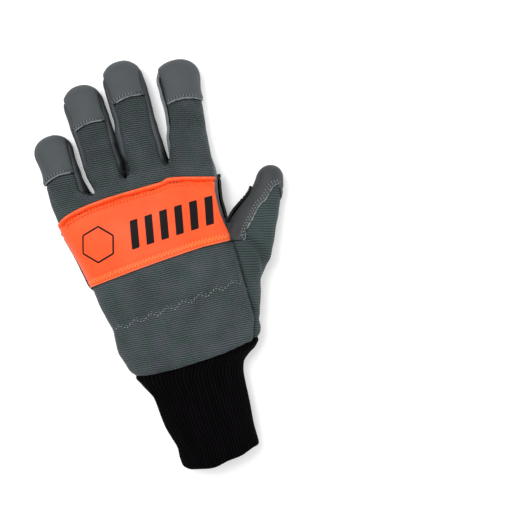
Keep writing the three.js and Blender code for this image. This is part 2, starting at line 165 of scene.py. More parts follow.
def beside(points, distance):
    """The plan curve moved to its left by distance."""
    run = np.gradient(points, axis=0)
    run /= np.linalg.norm(run, axis=1, keepdims=True)
    return points + distance * np.stack([-run[:, 1], run[:, 0]], 1)


def distance_to(points, curve, closed=False):
    """Distance in plan from each point to a curve."""
    plan = points[:, :2]
    curve = np.asarray(curve, float)
    ends = np.roll(curve, -1, 0) if closed else curve[1:]
    best = np.full(len(points), 1e9)
    for a, b in zip(curve, ends):
        ab = b - a
        t = np.clip(((plan - a) @ ab) / max(ab @ ab, 1e-9), 0, 1)
        best = np.minimum(best, ((plan - a - t[:, None] * ab) ** 2).sum(1))
    return np.sqrt(best)


def within(points, outline):
    """Signed distance in plan to a closed outline, above zero inside."""
    outline = np.asarray(outline, float)
    inside = np.zeros(len(points), bool)
    x, y = points[:, :2].T
    for (x1, y1), (x2, y2) in zip(outline, np.roll(outline, -1, 0)):
        if y1 == y2:
            continue
        inside ^= ((y1 > y) != (y2 > y)) & (x < (x2 - x1) * (y - y1) / (y2 - y1) + x1)
    return np.where(inside, 1, -1) * distance_to(points, outline, closed=True)


def bell(distance, width):
    return np.exp(-((distance / width) ** 2))


def ease(value, low, high):
    t = np.clip((value - low) / (high - low), 0, 1)
    return t * t * (3 - 2 * t)


def ripple(points, wavelength, seed, waves=9):
    """Soft pseudo-random relief between about -1 and 1, the same on every run."""
    rng = np.random.default_rng(seed)
    total = np.zeros(len(points))
    for _ in range(waves):
        direction = rng.normal(size=3)
        direction /= np.linalg.norm(direction)
        length = wavelength * rng.uniform(0.7, 1.6)
        total += np.sin(points @ direction * (2 * math.pi / length) + rng.uniform(0, 6.28))
    return total / math.sqrt(waves)


# Places on the hand

def place(across, along):
    return (across * PALM_WIDTH, WRIST_Y + along * PALM_LENGTH)


def turned(aside, along, tilt):
    c, s = math.cos(math.radians(tilt)), math.sin(math.radians(tilt))
    return aside * c + along * s, along * c - aside * s


def on_finger(name):
    finger = FINGERS[name]

    def point(aside, along):
        x, y = turned(aside * finger["width"] / 2, along * finger["length"], finger["tilt"])
        return (finger["across"] * PALM_WIDTH + x, ROOT_Y + y)

    return point


def on_thumb(aside, along):
    x, y = turned(aside * THUMB_WIDTH / 2, along * THUMB_LENGTH, THUMB_TILT)
    return (THUMB_ACROSS * PALM_WIDTH + x, WRIST_Y + THUMB_ALONG * PALM_LENGTH + y)


def each(where, *pairs):
    return [where(*pair) for pair in pairs]


# Lofts

def section(half_width, base, crown, sides):
    """A closed section, flat where it rests and domed above: columns across, up."""
    waist = base + 0.42 * (crown - base)
    angle = 2 * math.pi * (np.arange(sides) + 0.5) / sides
    c, s = np.cos(angle), np.sin(angle)
    power = np.where(s > 0, 2 / 2.35, 2 / 3)
    turn = np.abs(s) ** power
    fall = (waist - base) * 1.06
    across = np.sign(c) * np.abs(c) ** power * half_width
    up = np.where(s > 0, waist + turn * (crown - waist), waist - turn * fall)
    return np.stack([across, np.maximum(up, base)], 1)


def loft_faces(rings, sides, first=0):
    """Faces of a tube of rings with a fan at each end, whose hubs are its last two points."""
    r, i = np.meshgrid(np.arange(rings - 1), np.arange(sides), indexing="ij")
    a = (first + r * sides + i).ravel()
    b = (first + r * sides + (i + 1) % sides).ravel()
    side = np.concatenate([np.stack([a, b, b + sides], 1), np.stack([a, b + sides, a + sides], 1)])
    hub = first + rings * sides
    i = np.arange(sides)
    low = np.stack([np.full(sides, hub), first + (i + 1) % sides, first + i], 1)
    top = first + (rings - 1) * sides
    high = np.stack([np.full(sides, hub + 1), top + i, top + (i + 1) % sides], 1)
    return np.concatenate([side, low, high])


def with_hubs(rings):
    rings = np.array(rings)
    hubs = [rings[0].mean(0), rings[-1].mean(0)]
    return np.vstack([rings.reshape(-1, 3), hubs])


def body_rows():
    """Columns: y, left, right, crown, base, in millimetres, from the cuff to the finger roots."""
    cuff = np.stack([
        WRIST_Y - CUFF[:, 0] * CUFF_LENGTH,
        CUFF[:, 1] * CUFF_WIDTH,
        CUFF[:, 2] * CUFF_WIDTH,
        CUFF[:, 3] * CUFF_DEPTH,
        np.full(len(CUFF), LIFT),
    ], 1)
    hand = np.stack([
        WRIST_Y + HAND[:, 0] * PALM_LENGTH,
        HAND[:, 1] * PALM_WIDTH,
        HAND[:, 2] * PALM_WIDTH,
        HAND[:, 3] * HAND_DEPTH,
        HAND[:, 4] * LIFT,
    ], 1)
    return np.vstack([cuff, hand])


def body_ring(y, sides):
    left, right, crown, base = smooth_table(body_rows(), np.array([y]))[0]
    ring = section((right - left) / 2, base, crown, sides)
    return np.stack([(left + right) / 2 + ring[:, 0], np.full(sides, y), ring[:, 1]], 1)


def body_loft():
    rows = body_rows()
    ys = np.concatenate([np.arange(rows[0, 0], ROOT_Y - 2, 1.5), np.linspace(ROOT_Y - 2, rows[-1, 0], 7)])
    return with_hubs([body_ring(y, 144) for y in ys]), len(ys), 144


def digit_loft(rows, where, tip_round, sides=80):
    """rows has columns along, aside, half width, base, crown in millimetres; the tip is rounded."""
    last = rows[-1]
    straight = np.arange(rows[0, 0], last[0], 1.5)
    table = smooth_table(rows, straight)
    table = np.column_stack([straight, table, np.ones(len(straight))])
    turns = np.sin(np.radians(np.linspace(0, 86, 14)))
    tip = np.tile(last, (len(turns), 1))
    tip[:, 0] += turns * tip_round
    table = np.vstack([table, np.column_stack([tip, (1 - turns**TIP_POWER) ** (1 / TIP_POWER)])])
    rings = []
    for along, aside, half, base, crown, shrink in table:
        ring = section(half, base, crown, sides)
        middle = base + 0.42 * (crown - base)
        x, y = where(aside + ring[:, 0] * shrink, along)
        rings.append(np.stack([x, y, middle + (ring[:, 1] - middle) * shrink], 1))
    return with_hubs(rings), len(rings), sides


def finger_loft(name):
    finger = FINGERS[name]
    width, length, depth = finger["width"], finger["length"], finger["depth"]
    tip_round = FINGERTIP_ROUND * width
    tip = [1 - tip_round / length, finger["tip"], 0.97, 0]
    shares = np.vstack([FINGER[FINGER[:, 0] < tip[0] - 0.05], tip])
    rows = np.stack([
        shares[:, 0] * length,
        np.zeros(len(shares)),
        shares[:, 1] * width / 2,
        shares[:, 3] * LIFT,
        shares[:, 2] * depth,
    ], 1)
    point = on_finger(name)
    return digit_loft(rows, lambda aside, along: point(aside / (width / 2), along / length), tip_round)


def thumb_loft():
    rows = np.stack([
        THUMB[:, 0] * THUMB_LENGTH,
        THUMB[:, 1] * THUMB_WIDTH,
        THUMB[:, 2] * THUMB_WIDTH / 2,
        np.full(len(THUMB), THUMB_LIFT * LIFT),
        THUMB[:, 3] * THUMB_DEPTH,
    ], 1)

    def where(aside, along):
        return on_thumb(aside / (THUMB_WIDTH / 2), along / THUMB_LENGTH)

    return digit_loft(rows, where, THUMB_TIP_ROUND * THUMB_WIDTH)


# Sheets: a surface with its place before and after relief, and its outward direction

class Sheet:
    def __init__(self, base, point, out, tris):
        self.base, self.point, self.out, self.tris = base, point, out, tris

    def moved(self, distance):
        """Every point moved outwards by its distance."""
        shift = np.broadcast_to(distance, len(self.point))[:, None] * self.out
        return Sheet(self.base, self.point + shift, self.out, self.tris)

    def clipped(self, value):
        """The part where value, one number for each point, is above zero."""
        keep = value > 0
        count = keep[self.tris].sum(1)
        pieces = [self.tris[count == 3]]
        cuts = []
        for inside in (1, 2):
            tris = self.tris[count == inside]
            odd = (keep[tris] == (inside == 1)).argmax(1)[:, None]
            corner = [np.take_along_axis(tris, (odd + i) % 3, 1)[:, 0] for i in range(3)]
            cuts.append(corner)
        edges = np.concatenate([
            np.stack([c[0], c[other]], 1) for c in cuts for other in (1, 2)
        ])
        low_high = np.sort(edges, axis=1)
        unique, index = np.unique(low_high, axis=0, return_inverse=True)
        index = index.reshape(-1) + len(self.point)
        sizes = np.cumsum([len(cuts[0][0])] * 2 + [len(cuts[1][0])] * 2)
        one_b, one_c, two_b, two_c = np.split(index, sizes[:-1])
        pieces.append(np.stack([cuts[0][0], one_b, one_c], 1))
        pieces.append(np.stack([two_b, cuts[1][1], cuts[1][2]], 1))
        pieces.append(np.stack([two_b, cuts[1][2], two_c], 1))
        a, b = unique.T
        t = (value[a] / (value[a] - value[b]))[:, None]

        def grown(field):
            return np.vstack([field, field[a] * (1 - t) + field[b] * t])

        out = grown(self.out)
        out /= np.maximum(np.linalg.norm(out, axis=1, keepdims=True), 1e-9)
        tris = np.concatenate(pieces)
        used, tris = np.unique(tris, return_inverse=True)
        return Sheet(grown(self.base)[used], grown(self.point)[used], out[used], tris.reshape(-1, 3))

    def largest(self):
        """The biggest connected part, so that no crumb of a cut stays."""
        label = np.arange(len(self.point))
        while True:
            low = label[self.tris].min(1)
            fresh = label.copy()
            for corner in self.tris.T:
                np.minimum.at(fresh, corner, low)
            fresh = fresh[fresh]
            if (fresh == label).all():
                break
            label = fresh
        names, counts = np.unique(label[self.tris[:, 0]], return_counts=True)
        tris = self.tris[label[self.tris[:, 0]] == names[counts.argmax()]]
        used, tris = np.unique(tris, return_inverse=True)
        return Sheet(self.base[used], self.point[used], self.out[used], tris.reshape(-1, 3))

    def rim(self):
        """The directed boundary edges."""
        edges = np.concatenate([self.tris[:, [0, 1]], self.tris[:, [1, 2]], self.tris[:, [2, 0]]])
        size = len(self.point)
        forward = edges[:, 0] * size + edges[:, 1]
        backward = edges[:, 1] * size + edges[:, 0]
        return edges[~np.isin(forward, backward)]

    def thick(self, thickness):
        """(points, triangles) of the closed piece, with thickness added inwards."""
        size = len(self.point)
        a, b = self.rim().T
        points = np.vstack([self.point, self.point - self.out * thickness])
        walls = np.concatenate([
            np.stack([b, a, a + size], 1),
            np.stack([b, a + size, b + size], 1),
        ])
        return points, np.concatenate([self.tris, self.tris[:, ::-1] + size, walls])


def point_normals(points, tris):
    a, b, c = points[tris[:, 0]], points[tris[:, 1]], points[tris[:, 2]]
    face = np.cross(b - a, c - a)
    out = np.zeros_like(points)
    for corner in tris.T:
        for axis in range(3):
            out[:, axis] += np.bincount(corner, face[:, axis], len(points))
    return out / np.maximum(np.linalg.norm(out, axis=1, keepdims=True), 1e-9)


def relaxed(points, tris, rounds):
    """Points moved half way to the middle of their neighbours, in several rounds."""
    edges = np.concatenate([tris[:, [0, 1]], tris[:, [1, 2]], tris[:, [2, 0]]])
    count = np.bincount(edges[:, 0], minlength=len(points))[:, None]
    for _ in range(rounds):
        total = np.stack([
            np.bincount(edges[:, 0], points[edges[:, 1], axis], len(points)) for axis in range(3)
        ], 1)
        points = points + 0.5 * (total / np.maximum(count, 1) - points)
    return points


def skin():
    """The whole outer form as one smooth surface: lofts fused by a voxel remesh."""
    points, tris, first = [], [], 0
    for vertices, rings, sides in [body_loft(), thumb_loft(), *map(finger_loft, FINGERS)]:
        points.append(vertices)
        tris.append(loft_faces(rings, sides, first))
        first += len(vertices)
    mesh = bpy.data.meshes.new("form")
    mesh.from_pydata(np.vstack(points).tolist(), [], np.vstack(tris).tolist())
    form = bpy.data.objects.new("form", mesh)
    bpy.context.scene.collection.objects.link(form)
    remesh = form.modifiers.new("fuse", "REMESH")
    remesh.mode = "VOXEL"
    remesh.voxel_size = VOXEL
    remesh.use_smooth_shade = True
    result = form.evaluated_get(bpy.context.evaluated_depsgraph_get()).to_mesh()
    result.calc_loop_triangles()
    points = np.empty(len(result.vertices) * 3)
    result.vertices.foreach_get("co", points)
    tris = np.empty(len(result.loop_triangles) * 3, int)
    result.loop_triangles.foreach_get("vertices", tris)
    bpy.data.objects.remove(form)
    points, tris = points.reshape(-1, 3), tris.reshape(-1, 3)
    points = relaxed(points, tris, 10)
    return Sheet(points, points.copy(), point_normals(points, tris), tris)


# Seams in plan. Strips: (aside, along) as shares of the finger's half width and length.
STRIP_RIGHT = [
    (0.8, 0.008), (0.7, 0.045), (0.68, 0.11), (0.72, 0.2), (0.73, 0.35), (0.82, 0.57), (0.84, 0.72),
    (0.92, 0.87), (1.06, 0.94),
]
STRIP_LEFT = [
    (-1.02, 0.012), (-0.94, 0.05), (-0.9, 0.1), (-0.84, 0.16), (-0.78, 0.28), (-0.74, 0.45), (-0.78, 0.7),
    (-0.9, 0.88), (-1.04, 0.94),
]
STRIP_NARROW = {"middle": 0.06}  # how much narrower a finger's left strip is near the crotch
NEIGHBOURS = [("little", "ring"), ("ring", "middle"), ("middle", "index")]
CREASES = [13, 22, 13]  # length of the crease above each crotch

strip_edges = []
strip_ends = []
crotches = []
for left_name, right_name in NEIGHBOURS:
    narrow = STRIP_NARROW.get(right_name, 0)
    shares = [(aside - narrow * (along < 0.15), along) for aside, along in STRIP_LEFT]
    strip_edges.append(spline(each(on_finger(left_name), *STRIP_RIGHT)))
    strip_edges.append(spline(each(on_finger(right_name), *shares)))
    crotches.append((strip_edges[-2][0] + 2 * strip_edges[-1][0]) / 3)
    left, right = strip_edges[-2][0], strip_edges[-1][0]
    strip_ends.append(spline([left, (left + right) / 2 - (0, 0.9), right]))


def cap_seam(name):
    seam = FINGERS[name]["cap"]
    bow = 3.5 / FINGERS[name]["length"]
    shares = [(-1.2, seam - 1.3 * bow), (-0.7, seam - 0.5 * bow), (0, seam), (0.7, seam - 0.3 * bow)]
    return spline(each(on_finger(name), *shares, (1.2, seam - 0.9 * bow)))


cap_seams = {name: cap_seam(name) for name in FINGERS}
side_seam = spline(each(
    place, (0.478, 0.52), (0.482, 0.43), (0.479, 0.315), (0.473, 0.2),
    (0.468, 0.1), (0.436, 0.03), (0.4, -0.06)))
thumb_seam = spline(
    each(on_thumb, (-1.09, 0.452), (-0.47, 0.476), (-0.45, 0.51), (-0.42, 0.55), (-0.26, 0.62))
    + each(on_thumb, (-0.04, 0.715), (0.18, 0.755), (0.34, 0.82), (0.46, 0.857), (0.57, 0.867))
    + each(on_thumb, (0.69, 0.853), (0.78, 0.82), (0.88, 0.79), (1.4, 0.74))
)
thumb_under_seam = spline(
    each(place, (0.32, -0.05), (0.33, 0.08), (0.38, 0.14), (0.45, 0.23))
    + each(on_thumb, (0.2, 0.36), (0.25, 0.5), (0.33, 0.62), (0.45, 0.74), (0.62, 0.84), (1.4, 0.86))
)
gusset_seam = spline(each(
    place, (0.472, 0.655), (0.468, 0.72), (0.48, 0.8), (0.511, 0.9), (0.534, 1.0), (0.574, 1.09)))
front_seam = spline(each(
    place, (-0.27, 0.93), (-0.22, 0.95), (-0.01, 1.0), (0.15, 1.015), (0.255, 1.005), (0.27, 0.97)))

panel_top = spline(each(
    place, (-0.515, 0.872), (-0.44, 0.902), (-0.3, 0.921), (-0.05, 0.923), (0.16, 0.915), (0.22, 0.925),
    (0.3, 0.911), (0.4, 0.884), (0.49, 0.861)))
panel_bottom = spline(each(place, (0.472, 0.523), (0.3, 0.534), (0, 0.53), (-0.32, 0.519), (-0.436, 0.515)))
panel_outline = np.vstack([
    panel_top,
    spline(each(place, (0.462, 0.8), (0.45, 0.7), (0.454, 0.62), (0.472, 0.523))),
    spline(each(place, (0.3, 0.534), (0, 0.53), (-0.32, 0.519), (-0.436, 0.515))),
    spline(each(place, (-0.462, 0.66), (-0.489, 0.77))),
])
patch_top = spline(each(
    place, (-0.6, 0.8), (-0.5, 0.835), (-0.4, 0.87), (-0.22, 0.92), (-0.04, 0.95), (0.13, 0.96),
    (0.25, 0.945), (0.36, 0.92), (0.46, 0.884), (0.6, 0.87)))
patch_bottom = spline(
    each(on_thumb, (-1.3, 0.74), (-0.85, 0.82), (-0.3, 0.82), (-0.28, 0.72), (-0.35, 0.62))
    + each(place, (0.53, 0.51), (0.42, 0.455), (0.28, 0.41), (0.12, 0.375), (-0.18, 0.325), (-0.6, 0.3))
)
patch_outline = np.vstack([patch_top, patch_bottom])
palm_arcs = [
    spline(each(
        place, (-0.16, 0.565), (-0.065, 0.66), (0.063, 0.745), (0.21, 0.79), (0.32, 0.797), (0.42, 0.76))),
    spline(each(
        place, (-0.44, 0.74), (-0.21, 0.685), (-0.045, 0.655), (0.136, 0.63), (0.27, 0.622), (0.4, 0.625))),
]
thumb_gathers = spline([(53.5, -8), (45, -13), (37.5, -20), (35, -28)])
thumb_fold = spline(each(on_thumb, (-0.44, 0.49), (0.08, 0.455), (0.38, 0.41), (0.7, 0.3)))
ELASTIC_Y = WRIST_Y + 0.285 * PALM_LENGTH  # the elastic behind the knuckles


def guard_edge():
    shares = [
        (-0.66, -0.06), (-0.52, 0.22), (-0.42, 0.45), (-0.35, 0.65), (-0.25, 0.8), (-0.12, 0.88), (0.02, 0.9),
        (0.16, 0.88), (0.29, 0.8), (0.39, 0.65), (0.46, 0.45), (0.56, 0.22), (0.76, -0.06),
    ]
    reach = CUFF_LENGTH + WRIST_SEAM_ADVANCE
    top = WRIST_Y + WRIST_SEAM_ADVANCE - GAP
    return spline([(across * CUFF_WIDTH, top - down * reach) for across, down in shares])


guard_outline = guard_edge()


# Relief of the hand, before it is cut into pieces

def seam_relief(base, seams, depth, puff):
    """A groove along each seam, with the cloth swelling on both sides of it."""
    relief = np.zeros(len(base))
    for seam in seams:
        distance = distance_to(base, seam)
        relief += puff * bell(distance - 2.3, 1.6) - depth * bell(distance, 0.75)
    return relief


# The pit above a crotch: depths of its crease, pocket and valley, each with its width to the left and
# to the right, and the height at which it fades out on the flanks
CREASE = (9.0, 2.4, 0.9)
POCKET = (3.0, 3.0, 1.2)
VALLEY = (0.6, 4.5, 4.5)
PIT_FADE_Z = (10, 17)
CREASE_OFFSET = (1.4, 0.105)  # distance from the right finger's seam at the crotch, and its growth per mm


def crotch_sink(base):
    """How far the top drops where two fingers part: a slope down the strip, a steep wall on the right
    finger's side, and a shallow valley behind."""
    sink = np.zeros(len(base))
    for crotch, edge, length in zip(crotches, strip_edges[1::2], CREASES):
        crease = edge[:length] - np.outer(CREASE_OFFSET[0] + CREASE_OFFSET[1] * np.arange(length), (1, 0))
        beyond = base[:, 0] > np.interp(base[:, 1], crease[:, 1], crease[:, 0])
        pocket = [crotch + (0, 1.5), crotch + (0, 5.0)]
        valley = [crotch + (0, 3.0), crotch - (0, 7.0)]
        for line, (depth, left, right) in ((crease, CREASE), (valley, VALLEY), (pocket, POCKET)):
            reach = distance_to(base, line)
            sink += depth * np.where(beyond, bell(reach, right), bell(reach, left))
    return sink * ease(base[:, 2], *PIT_FADE_Z)


# Where a finger's left side swells over to its neighbour. Columns: how far, how wide, line in plan.
SWELLS = [
    (2.5, 6.0, [(2.0, 57), (1.0, 66), (1.2, 69)]),
    (1.7, 6.0, [(29.5, 43), (31.5, 48.5), (34.0, 57)]),
]


def finger_swell(base, out):
    flank = ease(-out[:, 0], 0.15, 0.6)
    return flank * sum(far * bell(distance_to(base, line), width) for far, width, line in SWELLS)


def little_crotch_shift(base):
    """Draws the gap between the little and ring fingers down and to the right at its end."""
    gap_end = [(-29.5, 42), (-28.5, 39)]
    return np.outer(bell(distance_to(base, gap_end), 4.5), (2.2, -4.3))


def hand_relief(base, out):
    x, y, z = base.T
    upper = ease(out[:, 2], -0.1, 0.35)
    lower = 1 - upper
    relief = 0.35 * ripple(base, 34, 1) + 0.1 * ripple(base, 11, 2) * upper
    relief -= 0.15 * (1 - ripple(base, 13, 3)) * lower
    relief += upper * seam_relief(base, strip_edges + strip_ends + [gusset_seam], 0.9, 0.25)
    relief += upper * seam_relief(base, [side_seam], 2.0, 0.4)
    relief += lower * seam_relief(base, [thumb_under_seam, front_seam], 0.7, 0.2)
    relief += finger_swell(base, out)
    fingers = ease(y, ROOT_Y + 3, ROOT_Y + 9)
    relief -= fingers * 0.6 * bell(z - SIDE_SEAM_Z, 0.8)
    # The elastic behind the knuckles draws the cloth in and puckers it.
    elastic = y - ELASTIC_Y
    pucker = np.sin(x * 1.15 + 1.2 * np.sin(y * 0.35))
    relief += upper * (-0.7 * bell(elastic, 5) + 0.16 * pucker * bell(elastic, 9))
    relief += upper * 0.45 * bell(elastic - 13, 8) + upper * 0.5 * bell(elastic + 14, 9)
    # A soft fold runs from the end of the thumb's leather across the side panel.
    fold = distance_to(base, thumb_fold)
    relief += upper * (1.0 * bell(fold - 4, 3) - 2.2 * bell(fold, 2.2))
    # The hem rolls down to the cuff.
    hem = y_past_wrist(base)
    relief += 0.6 * bell(hem - 4.5, 3) - 0.8 * bell(hem, 1.4)
    gathers = np.sin(x * 1.05 + 0.8 * np.sin(x * 0.37))
    relief += upper * 0.22 * gathers * bell(hem - 3, 7) * ease(x, -5, 25)
    return relief


def y_past_wrist(base):
    """Distance ahead of the slanted wrist seam."""
    return base[:, 1] - (WRIST_Y + WRIST_SEAM_ADVANCE - WRIST_SEAM_SLOPE * base[:, 2])


GUSSET_TOP_Z = 25
# Where the palm leather rises at the root of the index finger: ramps in x, in y at the lower end and
# in y at the upper end, and how far it rises above the side seam
ROOT_WRAP_X = (44, 49)
ROOT_WRAP_START_Y = (-6, -1)
ROOT_WRAP_END_Y = (36, 44)
ROOT_WRAP_RISE = 6


def palm_side(base):
    """Above zero on the palm, its wrap up the index side, and the gusset above that."""
    gusset = np.vstack([gusset_seam, each(place, (0.65, 1.05), (0.65, 0.655))])
    beside_index = np.minimum(within(base, gusset), GUSSET_TOP_Z - base[:, 2])
    x, y, z = base.T
    root = ease(x, *ROOT_WRAP_X) * ease(y, *ROOT_WRAP_START_Y) * (1 - ease(y, *ROOT_WRAP_END_Y))
    return np.maximum(ROOT_WRAP_RISE * root - (z - SIDE_SEAM_Z), beside_index)


def hand_pieces(form):
    """The hand's surface cut along its seams, by node name."""
    hand = form.clipped(y_past_wrist(form.base))
    hand = hand.moved(hand_relief(hand.base, hand.out))
    hand.point[:, 2] -= crotch_sink(hand.base)
    hand.point[:, :2] += little_crotch_shift(hand.base)
    pieces = {}

    def cut(stock, name, value):
        """Takes the region where value(base) is above zero out of the stock."""
        region = value(stock.base)
        pieces[name] = stock.clipped(region - SEAM_GAP).largest()
        return stock.clipped(-region - SEAM_GAP)

    past_tip = each(on_thumb, (1.4, 1.2), (-1.2, 1.2), (-1.2, 0.78))
    leather = np.vstack([thumb_seam, past_tip, each(place, (0.525, 0.7), (0.478, 0.655))])
    past_side = each(place, (0.9, -0.08), (1.1, 0.5), (1.1, 0.9))
    side_top = np.vstack([side_seam, past_side, each(on_thumb, (1.5, 0.93), (0.3, 0.93), (-1.05, 0.5))])
    side_under = np.vstack([thumb_under_seam, each(on_thumb, (1.4, 0.2)), each(place, (0.9, -0.08))])
    stock = cut(hand, "thumb_leather", lambda b: np.minimum(within(b, leather), b[:, 2] - SIDE_SEAM_Z))
    stock = cut(stock, "thumb_side_panel", lambda b: np.where(
        b[:, 2] > SIDE_SEAM_Z, within(b, side_top), within(b, side_under)))

    palm = stock.clipped(palm_side(stock.base))
    stock = stock.clipped(-palm_side(stock.base))
    for i, (left_name, right_name) in enumerate(NEIGHBOURS):
        outline = np.vstack([strip_edges[2 * i], strip_edges[2 * i + 1][::-1], strip_ends[i][::-1]])
        stock = cut(stock, f"fourchette_{left_name}_{right_name}", lambda b: within(b, outline))
    for name, seam in cap_seams.items():
        outline = np.vstack([seam, each(on_finger(name), (1.4, 1.2), (-1.4, 1.2))])
        stock = cut(stock, f"{name}_cap", lambda b: within(b, outline))
    pieces["back_panel"] = stock.largest()
    # The ring and middle fingers' fronts begin at these distances from the finger's root, at its left
    # and right sides.
    for name, left, right in (("ring", -4, 0.5), ("middle", 1.5, 2)):
        length = FINGERS[name]["length"]
        shares = [(-1.02, left / length), (0, (left + right) / 2 / length + 0.01), (1.02, right / length)]
        point = on_finger(name)
        outline = np.vstack([spline(each(point, *shares)), each(point, (1.02, 1.2), (-1.02, 1.2))])
        palm = cut(palm, f"{name}_front", lambda b: within(b, outline))
    pieces["palm_panel"] = palm.largest()
    return pieces, hand


# Making Blender objects

def make(name, points, tris, finish, slot, replaces=(), weave=None, crease=None):
    """A piece in metres that rides on the glove's one body."""
    points = np.array(points)
    points[:, 2] = np.maximum(points[:, 2], 0)
    mesh = bpy.data.meshes.new(name)
    mesh.vertices.add(len(points))
    mesh.vertices.foreach_set("co", (points * MM).ravel())
    tris = np.asarray(tris)
    mesh.loops.add(tris.size)
    mesh.loops.foreach_set("vertex_index", tris.ravel())
    mesh.polygons.add(len(tris))
    mesh.polygons.foreach_set("loop_start", np.arange(0, tris.size, 3))
    mesh.update(calc_edges=True)
    mesh.validate()
    mesh.shade_smooth()
    if crease is not None:
        mesh.set_sharp_from_angle(angle=math.radians(crease))
    if weave is not None:
        layer = mesh.attributes.new("weave", "FLOAT_VECTOR", "POINT")
        layer.data.foreach_set("vector", weave.astype(np.float32).ravel())
    mesh.materials.append(finish)
    obj = bpy.data.objects.new(name, mesh)
    bpy.context.scene.collection.objects.link(obj)
    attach(obj, "root")
    if replaces:
        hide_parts(*replaces)


def weave_coordinates(points, pitch, tilt, bend=0.0):
    """Across and along the ribs, counted in ribs. bend drops the rows towards the index finger."""
    c, s = math.cos(math.radians(tilt)), math.sin(math.radians(tilt))
    x, y, z = points.T
    along = x * s + y * c + bend * np.maximum(x - 18, 0) ** 2 * ease(y, 0, 50)
    return np.stack([(x * c - y * s) / pitch, along / pitch, z / pitch], 1)


def make_sheet(name, sheet, thickness, finish, slot, weave=None):
    """A sheet as a closed piece in place of the CAD solid of that name."""
    points, tris = sheet.thick(thickness)
    coordinates = weave_coordinates(np.vstack([sheet.base, sheet.base]), **weave) if weave else None
    make(name + "_skin", points, tris, finish, slot, [name], coordinates, crease=50)


# Materials

class Signal:
    """A shader value that takes part in plain arithmetic."""

    def __init__(self, look, socket):
        self.look, self.socket = look, socket

    def maths(self, operation, other=0.0):
        return self.look.node("ShaderNodeMath", 0, {0: self, 1: other}, operation=operation)

    def __add__(self, other):
        return self.maths("ADD", other)

    def __sub__(self, other):
        return self.maths("SUBTRACT", other)

    def __mul__(self, other):
        return self.maths("MULTIPLY", other)

    def humps(self):
        """One hump from 0 up to 1 and back for each whole number."""
        return (self * math.pi).maths("SINE").maths("ABSOLUTE")


class Look:
    """A new material, with short names for the nodes that drive its shader."""

    def __init__(self, name, colour, roughness, sheen=0.0, specular=0.5):
        self.material = bpy.data.materials.new(name)
        self.material.use_nodes = True
        self.tree = self.material.node_tree
        self.shader = self.tree.nodes["Principled BSDF"]
        self.shader.inputs["Base Color"].default_value = (*colour, 1)
        self.shader.inputs["Roughness"].default_value = roughness
        self.shader.inputs["Specular IOR Level"].default_value = specular
        self.shader.inputs["Sheen Weight"].default_value = sheen
        self.shader.inputs["Sheen Roughness"].default_value = 0.4

    def node(self, kind, output, inputs=(), **settings):
        made = self.tree.nodes.new(kind)
        for key, value in settings.items():
            setattr(made, key, value)
        for key, value in dict(inputs).items():
            if isinstance(value, Signal):
                self.tree.links.new(value.socket, made.inputs[key])
            else:
                made.inputs[key].default_value = value
        return Signal(self, made.outputs[output])

    def drive(self, name, signal):
        self.tree.links.new(signal.socket, self.shader.inputs[name])

    def object_place(self):
        return self.node("ShaderNodeTexCoord", "Object")

    def weave(self):
        return self.node("ShaderNodeAttribute", "Vector", attribute_name="weave")

    def axis(self, vector, name):
        return self.node("ShaderNodeSeparateXYZ", name, {"Vector": vector})

    def noise(self, where, scale, detail):
        return self.node("ShaderNodeTexNoise", "Fac", {"Vector": where, "Scale": scale, "Detail": detail})

    def mapped(self, value, low=0.0, high=1.0, to_low=0.0, to_high=1.0):
        """The value's range from low to high stretched to the range to_low to to_high."""
        return self.node("ShaderNodeMapRange", "Result", {
            "Value": value, "From Min": low, "From Max": high, "To Min": to_low, "To Max": to_high,
        })

    def mixed(self, share, first, second):
        return self.node("ShaderNodeMix", 2, {0: share, 6: first, 7: second}, data_type="RGBA")

    def tinted(self, factor, dark, light):
        """A colour from dark to light by factor."""
        signal = self.node("ShaderNodeValToRGB", "Color", {"Fac": factor})
        ramp = signal.socket.node.color_ramp.elements
        for end, colour, position in zip(ramp, (dark, light), (0.25, 0.75)):
            end.color = (*colour, 1)
            end.position = position
        return signal

    def bump(self, height, distance):
        inputs = {"Height": height, "Distance": distance}
        self.drive("Normal", self.node("ShaderNodeBump", "Normal", inputs))


def tinge(colour, *factors):
    return tuple(min(channel * factor, 1) for channel, factor in zip(colour, factors))


def shade(colour, factor):
    return tinge(colour, factor, factor, factor)


def leather(name, colour, roughness=0.5, contrast=0.12, grain=0.00006, specular=0.45, painted_shade_heights=None):
    """Grain leather: fine pebbles, faint creases and a slightly uneven colour. The last argument gives the
    height where painted shade starts, the height where it is full, and the share of the colour left there."""
    look = Look(name, colour, roughness, specular=specular)
    where = look.object_place()
    dye_and_painted_shade = look.tinted(look.noise(where, 90, 4), shade(colour, 1 - contrast), shade(colour, 1 + contrast))
    # Painted shade: the colour darkens from one height to the other.
    if painted_shade_heights:
        start, full, left = painted_shade_heights
        shade_share = look.mapped(look.axis(where, "Z"), start, full)
        dye_and_painted_shade = look.mixed(shade_share, dye_and_painted_shade, (*shade(colour, left), 1))
    look.drive("Base Color", dye_and_painted_shade)
    wear = look.noise(where, 300, 3)
    look.drive("Roughness", look.mapped(wear, to_low=roughness - 0.06, to_high=roughness + 0.08))
    pebbles = look.node(
        "ShaderNodeTexVoronoi", "Distance", {"Vector": where, "Scale": 1100}, feature="SMOOTH_F1")
    look.bump(pebbles + look.noise(where, 520, 5) * 1.2, grain)
    return look.material


